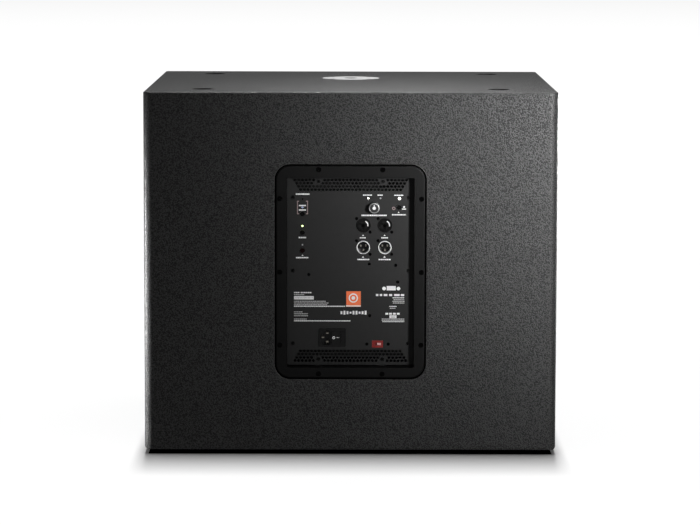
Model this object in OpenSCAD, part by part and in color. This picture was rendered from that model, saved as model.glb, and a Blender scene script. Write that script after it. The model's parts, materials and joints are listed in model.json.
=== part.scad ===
// Powered bass cabinet: a ported wooden box with one large cone driver at the front and an amplifier
// set into the rear panel. The front (grille) faces -Y, the amplifier faces +Y, and Z is up.
// The origin is on the floor, under the middle of the box. All sizes are in millimetres.

/* [Cabinet] */
// Width of the cabinet
cab_w = 668; // [660:1:720]
// Depth of the cabinet, front edge to rear face
cab_d = 620; // [600:1:680]
// Height of the cabinet without its feet
cab_h = 581; // [575:1:640]
// Thickness of the wooden panels
panel_t = 18; // [16:1:20]
// Height of the rubber feet
foot_h = 8; // [6:1:12]
// Radius of the four upright edges
upright_r = 14; // [8:1:15]
// Radius of the top edges
top_edge_r = 2.5; // [1:0.5:5]
// Radius of the bottom side edges
bottom_edge_r = 6; // [2:0.5:8]
// How far the baffle is set back from the front edges
baffle_setback = 38; // [36:1:48]

/* [Stacking and pole] */
// Distance of the feet and stacking recesses from the middle, sideways
foot_x = 241; // [230:1:250]
// Distance of the feet and stacking recesses from the middle, front to back
foot_y = 225; // [215:1:235]
// Radius of a stacking recess
recess_r = 16.5; // [15:0.5:18]
// Depth of a stacking recess
recess_depth = 7; // [5:0.5:9]
// Outer radius of a stacking cup
cup_r = 18; // [18:0.5:20]
// Place of the pole socket, front to back
pole_y = -99; // [-110:1:-80]
// Radius of the pole socket's round flange
pole_flange_r = 49.5; // [45:0.5:55]
// Bore radius of the pole thread, at its crests
pole_bore_r = 8.8; // [8.5:0.1:9]
// Depth of the pole thread
pole_bore_depth = 48; // [40:1:50]

/* [Handles] */
// Length of a side handle's flange
handle_l = 200; // [190:1:220]
// Height of a side handle's flange
handle_h = 124; // [116:1:140]
// Depth of a handle's pocket
handle_depth = 62; // [55:1:75]
// Radius of the grip bar
grip_r = 12; // [10:0.5:14]
// Height of the handles above the floor
handle_z = 352; // [320:1:380]

/* [Driver] */
// Outer radius of the driver's flange
driver_r = 230; // [226:1:232]
// Height of the driver's axis above the floor
driver_z = 331; // [328:1:334]
// Radius of the hole that the driver sits in
driver_hole_r = 211; // [209:1:212]
// Radius of the voice coil's former
former_r = 37.4; // [37.2:0.1:37.5]
// Largest travel of the cone, each way
cone_travel = 9; // [5:0.5:10]

/* [Ports] */
// Inner radius of a port tube
port_r = 50; // [45:1:52]
// Length of a port tube
port_l = 228; // [150:1:240]
// Distance of the ports from the middle, sideways
port_x = 240; // [236:1:242]
// Height of the ports above the floor
port_z = 104; // [100:1:106]

/* [Amplifier] */
// Outer width of the amplifier's frame
frame_w = 240.5; // [238:0.5:246]
// Outer height of the amplifier's frame
frame_h = 345; // [340:0.5:348]
// Corner radius of the frame
frame_r = 23; // [16:1:25]
// Width of the frame's inner opening
window_w = 206; // [204:1:208]
// Height of the frame's inner opening
window_h = 309; // [307:1:311]
// How deep the control plate lies below the rear face
plate_depth = 22; // [18:1:24]
// Thickness of the control plate
plate_t = 2; // [1.5:0.5:3]
// Depth of the box behind the control plate
cover_depth = 103; // [100:1:120]

/* [Controls] */
// Radius of the volume knob
knob_r = 9.4; // [8:0.1:10.5]
// How far the volume knob stands off the control plate
knob_h = 15; // [12:0.5:18]
// Radius of a push button
button_r = 3.8; // [3:0.1:4.2]
// Travel of a push button
button_travel = 1.5; // [1:0.1:1.8]
// Angle that the power rocker turns through
rocker_swing = 24; // [16:1:26]
// Travel of the fuse drawer
drawer_travel = 24; // [15:1:24]

/* [Hidden] */
$fn = 64;

// Gap between two parts that move against each other, and between a part and the hole it drops into.
slack = 0.3;
// Allowance that carries a cut past a face.
cut = 1;

// Planes of the cabinet.
half_w = cab_w / 2;
rear_y = cab_d / 2;
front_y = -cab_d / 2;
base_z = foot_h;
top_z = foot_h + cab_h;
inner_w = cab_w - 2 * panel_t;
floor_z = base_z + panel_t;
ceiling_z = top_z - panel_t;
mid_z = (base_z + top_z) / 2;
baffle_y = front_y + baffle_setback;
port_hole_r = port_r + 8;

// Brace across the middle of the box.
brace_y = 104;
brace_border = 60;
brace_bar = 46;
brace_corner_r = 12;

// Handles.
pocket_l = handle_l - 30;
pocket_h = handle_h - 30;
handle_flange_t = 3;
handle_wall = 3;
grip_lift = 18;
grip_sink = 16;
handle_screw_x = handle_h / 2 - 8;
handle_screw_y = handle_l / 2 - 12;
handle_gap = 0.5;

// Pole socket.
pole_flange_t = 3;
pole_boss_r = 22;
pole_mouth_r = 11;
pole_mouth_depth = pole_mouth_r - pole_bore_r;
pole_screw_r = 43.5;
cup_t = 2;

// Driver, measured forward from the baffle's face.
flange_t = 6;
gasket_t = 2;
flange_hole_r = 204;
cone_r = 188;
gap_back = -130;
gap_front = -118;
magnet_back = -154;
driver_back = -166;
pole_piece_r = 36.2;
winding_half = (gap_front - gap_back) / 2 + cone_travel - 1;
gap_r = 40;
neck_r = 109;
shelf_r = 125;
shelf_z = -78;
roll_r = (flange_hole_r - cone_r) / 2 + 2;
bolt_circle_r = 221;
bolt_r = 3;
plate_r = 105;
magnet_r = 110;
magnet_hole_r = 55;

// Grille, measured from the front edge of the cabinet.
grille_inset = 4;
grille_w = inner_w - 1;
grille_h = ceiling_z - floor_z - 1;
grille_t = 1.5;
grille_rim = 14;
grille_screw_edge = 14;
grille_screw_x = 150;
grille_screw_r = 2.5;
foam_t = 5;
front_light_w = 120;
front_light_h = 12;
front_light_z = 64;

// Amplifier. The control plate's outer face is at plate_y.
plate_y = rear_y - plate_depth;
plate_back_y = plate_y - plate_t;
frame_face_y = rear_y - 1;
frame_t = 3;
frame_wall = 2;
// Gap all round the frame, and the radius of the edges on both sides of the gap.
frame_gap = 2.2;
frame_edge_r = 2;
// The frame's opening and the box behind it sit a little lower than the frame's middle.
window_place = [0, -1.5];
plate_place = [0, -0.8];
plate_h = window_h - 2.2;
cover_wall = 1.5;
lug_t = 3;
lug_half = 6;
box_w = window_w + 2 * frame_wall;
box_h = window_h + 2 * frame_wall;
cover_front_y = plate_back_y - lug_t;
cover_back_y = cover_front_y - cover_depth;
frame_screw_x = 114.3;
frame_screw_top_x = 51.5;
frame_screw_z = 166;
frame_screw_side_z = 119;
plate_screw_x = 93.5;
plate_screw_top_x = 52;
plate_screw_z = 145;
plate_screw_side_z = 119;

// Places on the control plate as [across to the right, up], seen from behind the cabinet.
combo_places = [[20.7, 74], [55.6, 74]];
thru_places = [[20.7, 38], [55.6, 38]];
socket_screw_offsets = [[-11, 11], [11, -11]];
sink_screw_places = [[-67.6, -6.2], [30.5, 10.9], [73.1, 9], [31.3, -73.4], [76.5, -18.4]];
knob_place = [38.1, 103.2];
light_place = [78.4, 103.4];
link_place = [-77.9, 92.5];
equaliser_place = [-77.9, 62.3];
polarity_place = [-77.9, 32.8];
inlet_place = [-29, -109.2];
inlet_cavity_place = [-41, -109.2];
rocker_place = [-23.9, -109.2];
drawer_place = [-12.3, -109.2];
selector_place = [44.2, -120];
selector_screw_x = 17.4;
small_lens_places = [[28.5, 118], [48.3, 118], [-77.9, 116.4], [-77.9, 72.8], [-77.9, 42.2]];
power_lens_place = [78.9, 117.7];
small_lens_r = 1.4;
shaft_r = 3;
power_lens_r = 2.2;

// Cooling holes: six-sided, in staggered rows that shorten towards the middle of the plate.
vent_r = 2.65;
vent_pitch = 6;
vent_row = 5.2;
vent_rows = 4;
vent_longest = 31;
vent_edge = 147.3;

// Depths inside the amplifier box.
board_y = 258.4;
board_t = 1.6;
switch_front_y = 266;
socket_r = 11.8;
socket_half = 13;
ring_r = 10.8;
ring_inner_r = 9.5;
ring_proud = 1.5;
insert_y = 272;
thru_pin_r = 1.2;
socket_base_y = board_y + board_t;

// Mains module.
module_w = 43.4;
module_h = 30.3;
module_t = 3;
module_lip = 0.9;
module_body_w = module_w - 2 * module_lip;
module_body_h = module_h - 2 * module_lip;
module_depth = 40;
module_face_y = plate_y + module_t;
inlet_w = 15.8;
inlet_h = 24;
inlet_depth = 17;
// Blade contacts: earth towards the chamfered side, line and neutral on the other.
inlet_pin_places = [[-3.5, 0], [3.5, 7], [3.5, -7]];
rocker_w = 16.2;
rocker_h = 21;
rocker_pivot_y = module_face_y - 1.6;
trunnion_r = 1.2;
drawer_w = 5.8;
drawer_h = 20.6;
// What stays inside the module when the drawer is fully out.
drawer_grip = 3;
drawer_l = drawer_travel + drawer_grip;
fuse_r = 2.5;
fuse_l = 20;

// Voltage selector.
selector_w = 17.6;
selector_h = 11.4;
selector_travel = 5;
selector_knob_w = 6;
selector_slot_h = 5;

// The cable's route from the amplifier box to the driver's terminals.
terminal_z = driver_z - neck_r - 10;
cable_r = 3.5;
cable_route = [
    [30, cover_back_y, terminal_z], [30, cover_back_y - 30, terminal_z - 1], [26, 100, terminal_z - 4],
    [16, 40, terminal_z - 7], [8, -20, terminal_z - 8], [2, -80, terminal_z - 5],
    [0, -120, terminal_z - 2], [0, -150, terminal_z], [0, baffle_y + 104, terminal_z]
];

// ---------- Shapes that several parts use ----------

// Outline of a rectangle centred on the origin, with one radius for each corner, in order from +X +Y
// counter-clockwise.
function rounded(w, h, radii, steps) = [
    for (corner = [0:3], i = [0:steps])
        let (
            r = radii[corner],
            sx = (corner == 0 || corner == 3) ? 1 : -1,
            sy = corner < 2 ? 1 : -1,
            a = 90 * corner + 90 * i / steps
        )
        [sx * (w / 2 - r) + r * cos(a), sy * (h / 2 - r) + r * sin(a)]
];

module rounded_plate(w, h, t, r, steps = 8) {
    linear_extrude(t) polygon(rounded(w, h, [r, r, r, r], steps));
}

// A solid built up from rounded outlines. Each level is [height, growth of the outline on every side].
module stacked_plate(w, h, r, levels) {
    outlines = [
        for (level = levels)
            rounded(w + 2 * level[1], h + 2 * level[1], [1, 1, 1, 1] * (r + level[1]), 8)
    ];
    n = len(outlines[0]);
    points = [for (k = [0:len(levels) - 1], p = outlines[k]) [p[0], p[1], levels[k][0]]];
    walls = [
        for (k = [0:len(levels) - 2], i = [0:n - 1])
            let (low = k * n, high = low + n, next = (i + 1) % n)
            [low + i, high + i, high + next, low + next]
    ];
    ends = [[for (i = [0:n - 1]) i], [for (i = [n - 1:-1:0]) (len(levels) - 1) * n + i]];
    polyhedron(points, concat(walls, ends));
}

// Steps of a rounded edge, as [height, growth]: from the foot of the rounding to its top.
function edge_steps(top, r, sign) = [
    for (a = [0:22.5:90]) [top - r + r * sin(a), sign * r * (1 - cos(a))]
];

// A plate whose upper edge is rounded.
module soft_plate(w, h, t, r, edge_r) {
    stacked_plate(w, h, r, concat([[0, 0]], edge_steps(t, edge_r, -1)));
}

// Room for a soft plate and the gap round it, flared at the rear face so that the panel's edge is rounded.
module flared_cut(w, h, r, gap) {
    face = rear_y - frame_face_y + frame_t;
    stacked_plate(
        w + 2 * gap, h + 2 * gap, r + gap,
        concat([[0, 0]], edge_steps(face, frame_edge_r, 1), [[face + 1, frame_edge_r]])
    );
}

// Children drawn with x to the right, y up and z outwards, as seen by someone who faces the rear panel.
module on_rear(place, y) {
    translate([-place[0], y, mid_z + place[1]]) rotate([-90, 0, 0]) rotate([0, 0, 180]) children();
}

// Children drawn with x to +X, y up and z forwards.
module on_front(x, z, y) {
    translate([x, y, z]) rotate([90, 0, 0]) children();
}

// Children drawn with z outwards from one side panel: side is -1 on the left and 1 on the right.
module on_side(side) {
    translate([side * half_w, 0, handle_z]) rotate([0, side * 90, 0]) children();
}

module at_corners(x, y) {
    for (sx = [-1, 1], sy = [-1, 1]) {
        translate([sx * x, sy * y, 0]) children();
    }
}

// The ten places of a frame's screws: two along the top, two along the bottom and three up each side.
module at_frame_screws(top_x, top_z, side_x, side_z) {
    for (sx = [-1, 1]) {
        for (sz = [-1, 1]) {
            translate([sx * top_x, sz * top_z, 0]) children();
        }
        for (z = [-side_z, 0, side_z]) {
            translate([sx * side_x, z, 0]) children();
        }
    }
}

// A screw along -Z with its head standing on z = 0.
module pan_screw(shank_r, length, head_r, head_h) {
    translate([0, 0, -length]) cylinder(r = shank_r, h = length);
    difference() {
        cylinder(r1 = head_r, r2 = head_r * 0.72, h = head_h);
        for (turn = [0, 90]) {
            rotate([0, 0, turn])
                translate([-head_r * 0.5, -head_r * 0.13, head_h * 0.4])
                    cube([head_r, head_r * 0.26, head_h]);
        }
    }
}

module tube(outer_r, inner_r, z0, z1) {
    translate([0, 0, z0]) difference() {
        cylinder(r = outer_r, h = z1 - z0);
        translate([0, 0, -cut]) cylinder(r = inner_r, h = z1 - z0 + 2 * cut);
    }
}

// ---------- Cabinet ----------

// The whole cabinet's outer form, which the panels are cut from.
module envelope() {
    intersection() {
        linear_extrude(2 * top_z) polygon(rounded(cab_w, cab_d, [1, 1, 1, 1] * upright_r, 12));
        translate([0, 0, mid_z]) rotate([90, 0, 0])
            linear_extrude(2 * cab_d, center = true)
                polygon(rounded(cab_w, cab_h, [top_edge_r, top_edge_r, bottom_edge_r, bottom_edge_r], 6));
        front_and_rear_edges();
    }
}

// The cabinet's side outline, which rounds the top and bottom edges at the front and the rear.
module front_and_rear_edges() {
    translate([0, 0, mid_z]) rotate([90, 0, 90])
        linear_extrude(2 * cab_w, center = true)
            polygon(rounded(cab_d, cab_h, [1, 1, 1, 1] * top_edge_r, 6));
}

module side_panel(side) {
    around = handle_wall + handle_gap;
    color("#1c1c1e") difference() {
        intersection() {
            envelope();
            translate([side > 0 ? half_w - panel_t : -half_w, front_y, base_z])
                cube([panel_t, cab_d, cab_h]);
        }
        on_side(side) {
            translate([0, 0, -panel_t - cut])
                rounded_plate(pocket_h + 2 * around, pocket_l + 2 * around, panel_t + 2 * cut, 12);
            translate([0, 0, -handle_flange_t])
                rounded_plate(handle_h + 2 * handle_gap, handle_l + 2 * handle_gap,
                              handle_flange_t + cut, 14);
        }
    }
}

module left_panel() {
    side_panel(-1);
}

module right_panel() {
    side_panel(1);
}

module top_panel() {
    color("#1c1c1e") difference() {
        intersection() {
            front_and_rear_edges();
            translate([-inner_w / 2, front_y, ceiling_z]) cube([inner_w, cab_d, panel_t]);
        }
        translate([0, 0, top_z - recess_depth - cup_t]) at_corners(foot_x, foot_y)
            cylinder(r = cup_r + 0.2, h = recess_depth + cup_t + cut);
        translate([0, pole_y, top_z - pole_flange_t])
            cylinder(r = pole_flange_r + slack, h = pole_flange_t + cut);
        translate([0, pole_y, ceiling_z - cut]) cylinder(r = pole_boss_r + 1, h = panel_t + 2 * cut);
    }
}

module bottom_panel() {
    color("#1c1c1e") intersection() {
        front_and_rear_edges();
        translate([-inner_w / 2, front_y, base_z]) cube([inner_w, cab_d, panel_t]);
    }
}

module rear_panel() {
    color("#1c1c1e") difference() {
        translate([-inner_w / 2, rear_y - panel_t, floor_z]) cube([inner_w, panel_t, ceiling_z - floor_z]);
        on_rear([0, 0], frame_face_y - frame_t) flared_cut(frame_w, frame_h, frame_r, frame_gap);
        on_rear(window_place, rear_y - panel_t - cut)
            rounded_plate(box_w + 3, box_h + 3, panel_t + 2 * cut, 5);
    }
}

module front_baffle() {
    color("#17171a") difference() {
        translate([-inner_w / 2, baffle_y, floor_z]) cube([inner_w, panel_t, ceiling_z - floor_z]);
        on_front(0, driver_z, baffle_y + panel_t + cut) cylinder(r = driver_hole_r, h = panel_t + 2 * cut);
        for (side = [-1, 1]) {
            on_front(side * port_x, port_z, baffle_y + panel_t + cut)
                cylinder(r = port_hole_r, h = panel_t + 2 * cut);
        }
    }
}

// A frame across the middle of the box that ties its four walls together.
module window_brace() {
    window_x = inner_w - 2 * brace_border;
    window_z = (ceiling_z - floor_z - 2 * brace_border - brace_bar) / 2;
    color("burlywood") difference() {
        translate([-inner_w / 2, brace_y, floor_z]) cube([inner_w, panel_t, ceiling_z - floor_z]);
        for (side = [-1, 1]) {
            on_front(0, mid_z + side * (window_z + brace_bar) / 2, brace_y + panel_t + cut)
                rounded_plate(window_x, window_z, panel_t + 2 * cut, brace_corner_r);
        }
    }
}

// Wood screws: pole socket, side handles and feet.
module cabinet_screws() {
    color("#2a2a2c") {
        for (turn = [45:90:315]) {
            translate([0, pole_y, top_z]) rotate([0, 0, turn])
                translate([pole_screw_r, 0, 0]) wood_screw();
        }
        for (side = [-1, 1]) {
            on_side(side) at_corners(handle_screw_x, handle_screw_y) wood_screw();
        }
        at_corners(foot_x, foot_y) translate([0, 0, foot_h - 4]) rotate([180, 0, 0]) wood_screw();
    }
}

// A countersunk wood screw along -Z, with its head flush with z = 0.
module wood_screw() {
    difference() {
        union() {
            translate([0, 0, -2.5]) cylinder(r1 = 2, r2 = 4, h = 2.5);
            translate([0, 0, -16]) cylinder(r = 2, h = 14);
        }
        for (turn = [0, 90]) {
            rotate([0, 0, turn]) translate([-2.2, -0.5, -1.2]) cube([4.4, 1, 2]);
        }
    }
}

// The seat that a wood screw's head sinks into, drawn as a cutter.
module screw_seat() {
    translate([0, 0, -2.5]) cylinder(r1 = 2, r2 = 4, h = 2.5);
    translate([0, 0, -20]) cylinder(r = 2, h = 19);
    cylinder(r = 4, h = cut);
}

module port_tube_left() {
    port_tube(-1);
}

module port_tube_right() {
    port_tube(1);
}

// A port tube: a flange on the baffle, a mouth flared along a quarter of a circle, and a straight tube.
module port_tube(side) {
    flare = 14;
    wall = 3;
    flange = 4;
    mouth_r = port_r + flare;
    mouth = [for (i = [0:8]) let (a = 90 * i / 8)
        [port_r + flare * (1 - cos(a)), flange - flare * (1 - sin(a))]];
    color("#141416") on_front(side * port_x, port_z, baffle_y) rotate_extrude() polygon(concat(
        [[port_r, -port_l]],
        mouth,
        [[mouth_r + 4, flange], [mouth_r + 4, 0], [port_hole_r - 0.5, 0], [port_hole_r - 0.5, -panel_t],
         [port_r + wall, -panel_t - 6], [port_r + wall, -port_l]]
    ));
}

// ---------- Front ----------

module front_grille() {
    inside_w = grille_w - 2 * grille_t;
    inside_h = grille_h - 2 * grille_t;
    color("#1a1a1c") on_front(0, mid_z, front_y + grille_inset) difference() {
        translate([0, 0, -grille_rim]) rounded_plate(grille_w, grille_h, grille_rim, 3);
        translate([0, 0, -grille_rim - cut])
            rounded_plate(inside_w, inside_h, grille_rim - grille_t + cut, 2);
        at_grille_screws() translate([0, 0, -grille_t - cut])
            cylinder(r = grille_screw_r + 0.1, h = grille_t + 2 * cut);
    }
}

module at_grille_screws() {
    edge_x = grille_w / 2 - grille_screw_edge;
    edge_z = grille_h / 2 - grille_screw_edge;
    for (side = [-1, 1]) {
        for (level = [-1, 0, 1]) {
            translate([side * edge_x, level * edge_z, 0]) children();
        }
        for (level = [-1, 1]) {
            translate([side * grille_screw_x, level * edge_z, 0]) children();
        }
    }
}

module grille_foam() {
    foam_w = grille_w - 2 * grille_t - 0.4;
    foam_h = grille_h - 2 * grille_t - 0.4;
    color("#222224") on_front(0, mid_z, front_y + grille_inset + grille_t) difference() {
        translate([0, 0, -foam_t]) rounded_plate(foam_w, foam_h, foam_t, 2);
        at_grille_screws() translate([0, 0, -foam_t - cut])
            cylinder(r = grille_screw_r + 0.2, h = foam_t + 2 * cut);
    }
}

module grille_screws() {
    reach = baffle_setback - grille_inset + 12;
    color("#2a2a2c") on_front(0, mid_z, front_y + grille_inset)
        at_grille_screws() pan_screw(grille_screw_r, reach, 5, 2.6);
}

// A lit bar across the foot of the grille.
module front_light() {
    color("aliceblue") on_front(0, front_light_z, front_y + grille_inset)
        rounded_plate(front_light_w, front_light_h, 3, 4);
}

// ---------- Handles, pole socket, recesses and feet ----------

module handle(side) {
    up = -side;
    color("#161618") difference() {
        union() {
            on_side(side) {
                difference() {
                    union() {
                        translate([0, 0, -handle_flange_t])
                            rounded_plate(handle_h, handle_l, handle_flange_t, 13.5);
                        translate([0, 0, -handle_depth - handle_wall])
                            rounded_plate(pocket_h + 2 * handle_wall, pocket_l + 2 * handle_wall,
                                          handle_depth + handle_wall - handle_flange_t / 2, 11);
                    }
                    translate([0, 0, -handle_depth]) rounded_plate(pocket_h, pocket_l, handle_depth + cut, 8);
                }
                translate([up * grip_lift, 0, -grip_sink]) rotate([90, 0, 0])
                    cylinder(r = grip_r, h = pocket_l + handle_wall, center = true);
            }
        }
        on_side(side) at_corners(handle_screw_x, handle_screw_y) screw_seat();
    }
}

module handle_left() {
    handle(-1);
}

module handle_right() {
    handle(1);
}

module pole_cup() {
    color("silver") translate([0, pole_y, top_z]) difference() {
        union() {
            translate([0, 0, -pole_flange_t]) cylinder(r = pole_flange_r, h = pole_flange_t);
            translate([0, 0, -pole_bore_depth - pole_mouth_depth - 5])
                cylinder(r = pole_boss_r, h = pole_bore_depth + pole_mouth_depth + 4);
        }
        translate([0, 0, -pole_mouth_depth])
            cylinder(r1 = pole_bore_r, r2 = pole_mouth_r + cut, h = pole_mouth_depth + cut);
        translate([0, 0, -pole_mouth_depth - pole_bore_depth])
            cylinder(r = pole_bore_r, h = pole_bore_depth + 0.5);
        for (turn = [45:90:315]) {
            rotate([0, 0, turn]) translate([pole_screw_r, 0, 0]) screw_seat();
        }
    }
}

module stacking_cups() {
    color("#101012") translate([0, 0, top_z]) at_corners(foot_x, foot_y) difference() {
        translate([0, 0, -recess_depth - cup_t]) cylinder(r = cup_r, h = recess_depth + cup_t);
        translate([0, 0, -recess_depth]) cylinder(r = recess_r, h = recess_depth + cut);
    }
}

module rubber_feet() {
    color("#0e0e10") at_corners(foot_x, foot_y) difference() {
        cylinder(r1 = 14, r2 = 15.5, h = foot_h);
        translate([0, 0, -cut]) cylinder(r = 5, h = foot_h - 4 + cut);
        translate([0, 0, foot_h - 4]) rotate([180, 0, 0]) screw_seat();
    }
}

// ---------- Driver ----------

// Children drawn with z forwards from the baffle's face, on the driver's axis.
module on_driver() {
    on_front(0, driver_z, baffle_y) children();
}

module at_driver_bolts() {
    for (turn = [22.5:45:337.5]) {
        rotate([0, 0, turn]) translate([bolt_circle_r, 0, 0]) children();
    }
}

module woofer_basket() {
    wall = 4;
    seat_r = 48;
    seat_z = gap_front + 0.01;
    // Half section, from the flange back along the cone-shaped wall to the spider's shelf and the neck.
    color("#232325") on_driver() difference() {
        union() {
            rotate_extrude() polygon([
                [flange_hole_r, 0.5], [flange_hole_r, flange_t], [driver_r, flange_t], [driver_r, 0],
                [driver_hole_r - 1, 0], [shelf_r + wall, shelf_z - wall], [neck_r, shelf_z - wall],
                [neck_r, seat_z], [seat_r, seat_z], [seat_r, seat_z + 5], [neck_r - wall, seat_z + 5],
                [neck_r - wall, shelf_z], [shelf_r, shelf_z]
            ]);
            // The terminal block, under the neck.
            translate([-15, -neck_r - 16, -104]) cube([30, 18, 12]);
        }
        // Six windows in the wall, between its spokes.
        for (turn = [30:60:330]) {
            rotate([0, 0, turn]) translate([shelf_r + 12, -34, -66]) cube([90, 68, 52]);
        }
        translate([0, 0, -cut]) at_driver_bolts() cylinder(r = bolt_r, h = flange_t + 2 * cut);
    }
}

module woofer_top_plate() {
    color("silver") on_driver() tube(plate_r, gap_r, gap_back, gap_front);
}

module woofer_magnet() {
    color("#3a3a3c") on_driver() tube(magnet_r, magnet_hole_r, magnet_back, gap_back);
}

module woofer_back_plate() {
    color("silver") on_driver() difference() {
        union() {
            translate([0, 0, driver_back]) cylinder(r = plate_r, h = magnet_back - driver_back);
            translate([0, 0, driver_back]) cylinder(r = pole_piece_r, h = gap_front + 2 - driver_back);
        }
        translate([0, 0, driver_back - cut]) cylinder(r = 15, h = 80);
    }
}

module woofer_gasket() {
    color("#1b1b1d") on_driver() difference() {
        tube(driver_r - 1, flange_hole_r + 12, flange_t, flange_t + gasket_t);
        at_driver_bolts() cylinder(r = bolt_r, h = 4 * flange_t);
    }
}

module woofer_bolts() {
    color("#2a2a2c") on_driver() translate([0, 0, flange_t + gasket_t])
        at_driver_bolts() pan_screw(bolt_r, 24, 5.5, 3);
}

module cone() {
    color("#2b2b2d") on_driver() rotate_extrude() polygon([
        [former_r + 0.5, -64], [former_r + 0.5, -60.5], [90, -32], [140, -14], [cone_r, -2.5],
        [cone_r, -4.5], [140, -16], [90, -34.5]
    ]);
}

module dust_cap() {
    cap_r = 62;
    rise = 20;
    sphere_r = (cap_r * cap_r + rise * rise) / (2 * rise);
    foot = -47.3;
    color("#1f1f21") on_driver() intersection() {
        translate([0, 0, foot + rise - sphere_r]) difference() {
            sphere(r = sphere_r);
            sphere(r = sphere_r - 1.5);
        }
        translate([0, 0, foot]) cylinder(r = cap_r, h = rise + 2);
    }
}

// The winding is longer than the magnet's gap, so that it stays in the field as the cone moves.
module voice_coil() {
    gap_middle = (gap_front + gap_back) / 2;
    color("peru") on_driver() {
        tube(former_r + 0.5, former_r, -140, -60.6);
        tube(former_r + 1.6, former_r + 0.5, gap_middle - winding_half, gap_middle + winding_half);
    }
}

module surround() {
    // A half roll between the cone's edge and the flange, a little flatter than a semicircle.
    middle = (cone_r + flange_hole_r) / 2;
    flatness = 0.85;
    outer = [for (a = [0:18:180])
        [middle + (roll_r + 1) * cos(a), flange_t + 1 + roll_r * flatness * sin(a)]];
    inner = [for (a = [0:18:180])
        [middle - (roll_r - 0.5) * cos(a), flange_t + (roll_r - 1) * flatness * sin(a)]];
    color("#1a1a1c") on_driver() rotate_extrude() polygon(concat(
        [[flange_hole_r + 11, flange_t], [flange_hole_r + 11, flange_t + 1]],
        outer, [[cone_r - 5, -1], [cone_r - 5, -2.3], [cone_r, -2.3], [cone_r + 0.5, 1]], inner
    ));
}

module spider() {
    // A corrugated disc from the former out to the shelf.
    rings = 20;
    wave = 1.6;
    spider_t = 0.8;
    start = former_r + 0.5;
    span = shelf_r - 1 - start;
    front = [for (i = [0:rings]) [start + span * i / rings, shelf_z + spider_t + wave * (1 - cos(90 * i))]];
    back = [for (i = [rings:-1:0]) front[i] - [0, spider_t]];
    color("goldenrod") on_driver() rotate_extrude() polygon(concat(front, back));
}

// A closed tube swept along a route, with eight sides.
module swept(route, r) {
    sides = 8;
    n = len(route);
    points = [
        for (i = [0:n - 1])
            let (
                ahead = route[min(i + 1, n - 1)] - route[max(i - 1, 0)],
                t = (i == 0 || i == n - 1) ? [0, -1, 0] : ahead / norm(ahead),
                side = cross(t, [0, 0, 1]) / norm(cross(t, [0, 0, 1])),
                up = cross(side, t)
            )
            for (k = [0:sides - 1]) route[i] + r * (cos(45 * k) * side + sin(45 * k) * up)
    ];
    walls = [
        for (i = [0:n - 2], k = [0:sides - 1])
            let (near = i * sides, far = near + sides, next = (k + 1) % sides)
            [near + k, far + k, far + next, near + next]
    ];
    ends = [[for (k = [0:sides - 1]) k], [for (k = [sides - 1:-1:0]) (n - 1) * sides + k]];
    polyhedron(points, concat(walls, ends));
}

module speaker_cable() {
    color("firebrick") swept(cable_route, cable_r);
}

// ---------- Amplifier frame, plate and box ----------

module amp_frame() {
    color("#1d1d1f") difference() {
        union() {
            on_rear([0, 0], frame_face_y - frame_t)
                soft_plate(frame_w, frame_h, frame_t, frame_r, frame_edge_r);
            on_rear(window_place, cover_front_y)
                rounded_plate(box_w, box_h, frame_face_y - cover_front_y - 1, 4);
        }
        difference() {
            on_rear(window_place, cover_front_y - cut)
                rounded_plate(window_w, window_h, frame_face_y - cover_front_y + 2 * cut, 3);
            on_rear([0, 0], cover_front_y - 2 * cut) frame_lugs(lug_t + 2 * cut);
        }
        on_rear([0, 0], frame_face_y - frame_t - cut)
            at_frame_screws(frame_screw_top_x, frame_screw_z, frame_screw_x, frame_screw_side_z)
                cylinder(r = 2.1, h = frame_t + 2 * cut);
    }
}

// The ten small ledges that carry the control plate.
module frame_lugs(t) {
    for (sx = [-1, 1]) {
        for (z = [-plate_screw_side_z, 0, plate_screw_side_z]) {
            translate([sx * (plate_screw_x + 3) - 9, z - lug_half, 0]) cube([18, 2 * lug_half, t]);
        }
        for (sz = [-1, 1]) {
            translate([sx * plate_screw_top_x - lug_half, sz * (plate_screw_z + 4) - 10, 0])
                cube([2 * lug_half, 20, t]);
        }
    }
}

module amp_frame_screws() {
    color("#38383a") on_rear([0, 0], frame_face_y)
        at_frame_screws(frame_screw_top_x, frame_screw_z, frame_screw_x, frame_screw_side_z)
            pan_screw(2, 16, 4.2, 1);
}

// The top cooling holes, as an outline; the bottom ones are their mirror image.
module vent_holes() {
    for (row = [0:vent_rows - 1], i = [0:vent_longest - row - 1]) {
        x = (i - (vent_longest - row - 1) / 2) * vent_pitch;
        z = vent_edge - row * vent_row;
        near_screw = abs(abs(x) - plate_screw_top_x) < 6.5 && abs(z - plate_screw_z) < 7;
        if (!near_screw) {
            translate([x, z]) rotate(30) circle(r = vent_r, $fn = 6);
        }
    }
}

module holes_at(places, r) {
    for (place = places) {
        translate(place) circle(r = r);
    }
}

module amp_plate() {
    color("#26262a") on_rear([0, 0], plate_back_y) linear_extrude(plate_t) difference() {
        translate(plate_place) polygon(rounded(window_w - 0.6, plate_h, [1, 1, 1, 1] * 2.7, 4));
        vent_holes();
        mirror([0, 1]) vent_holes();
        holes_at(concat(combo_places, thru_places), socket_r + 0.2);
        holes_at(small_lens_places, small_lens_r + 0.1);
        holes_at([power_lens_place], power_lens_r + 0.1);
        holes_at([knob_place], 4.8);
        holes_at([light_place, link_place, equaliser_place, polarity_place], button_r + slack);
        translate(inlet_place)
            square([module_body_w + 2 * slack, module_body_h + 2 * slack], center = true);
        translate(selector_place) square([selector_w + 0.4, selector_h + 0.4], center = true);
    }
}

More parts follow.
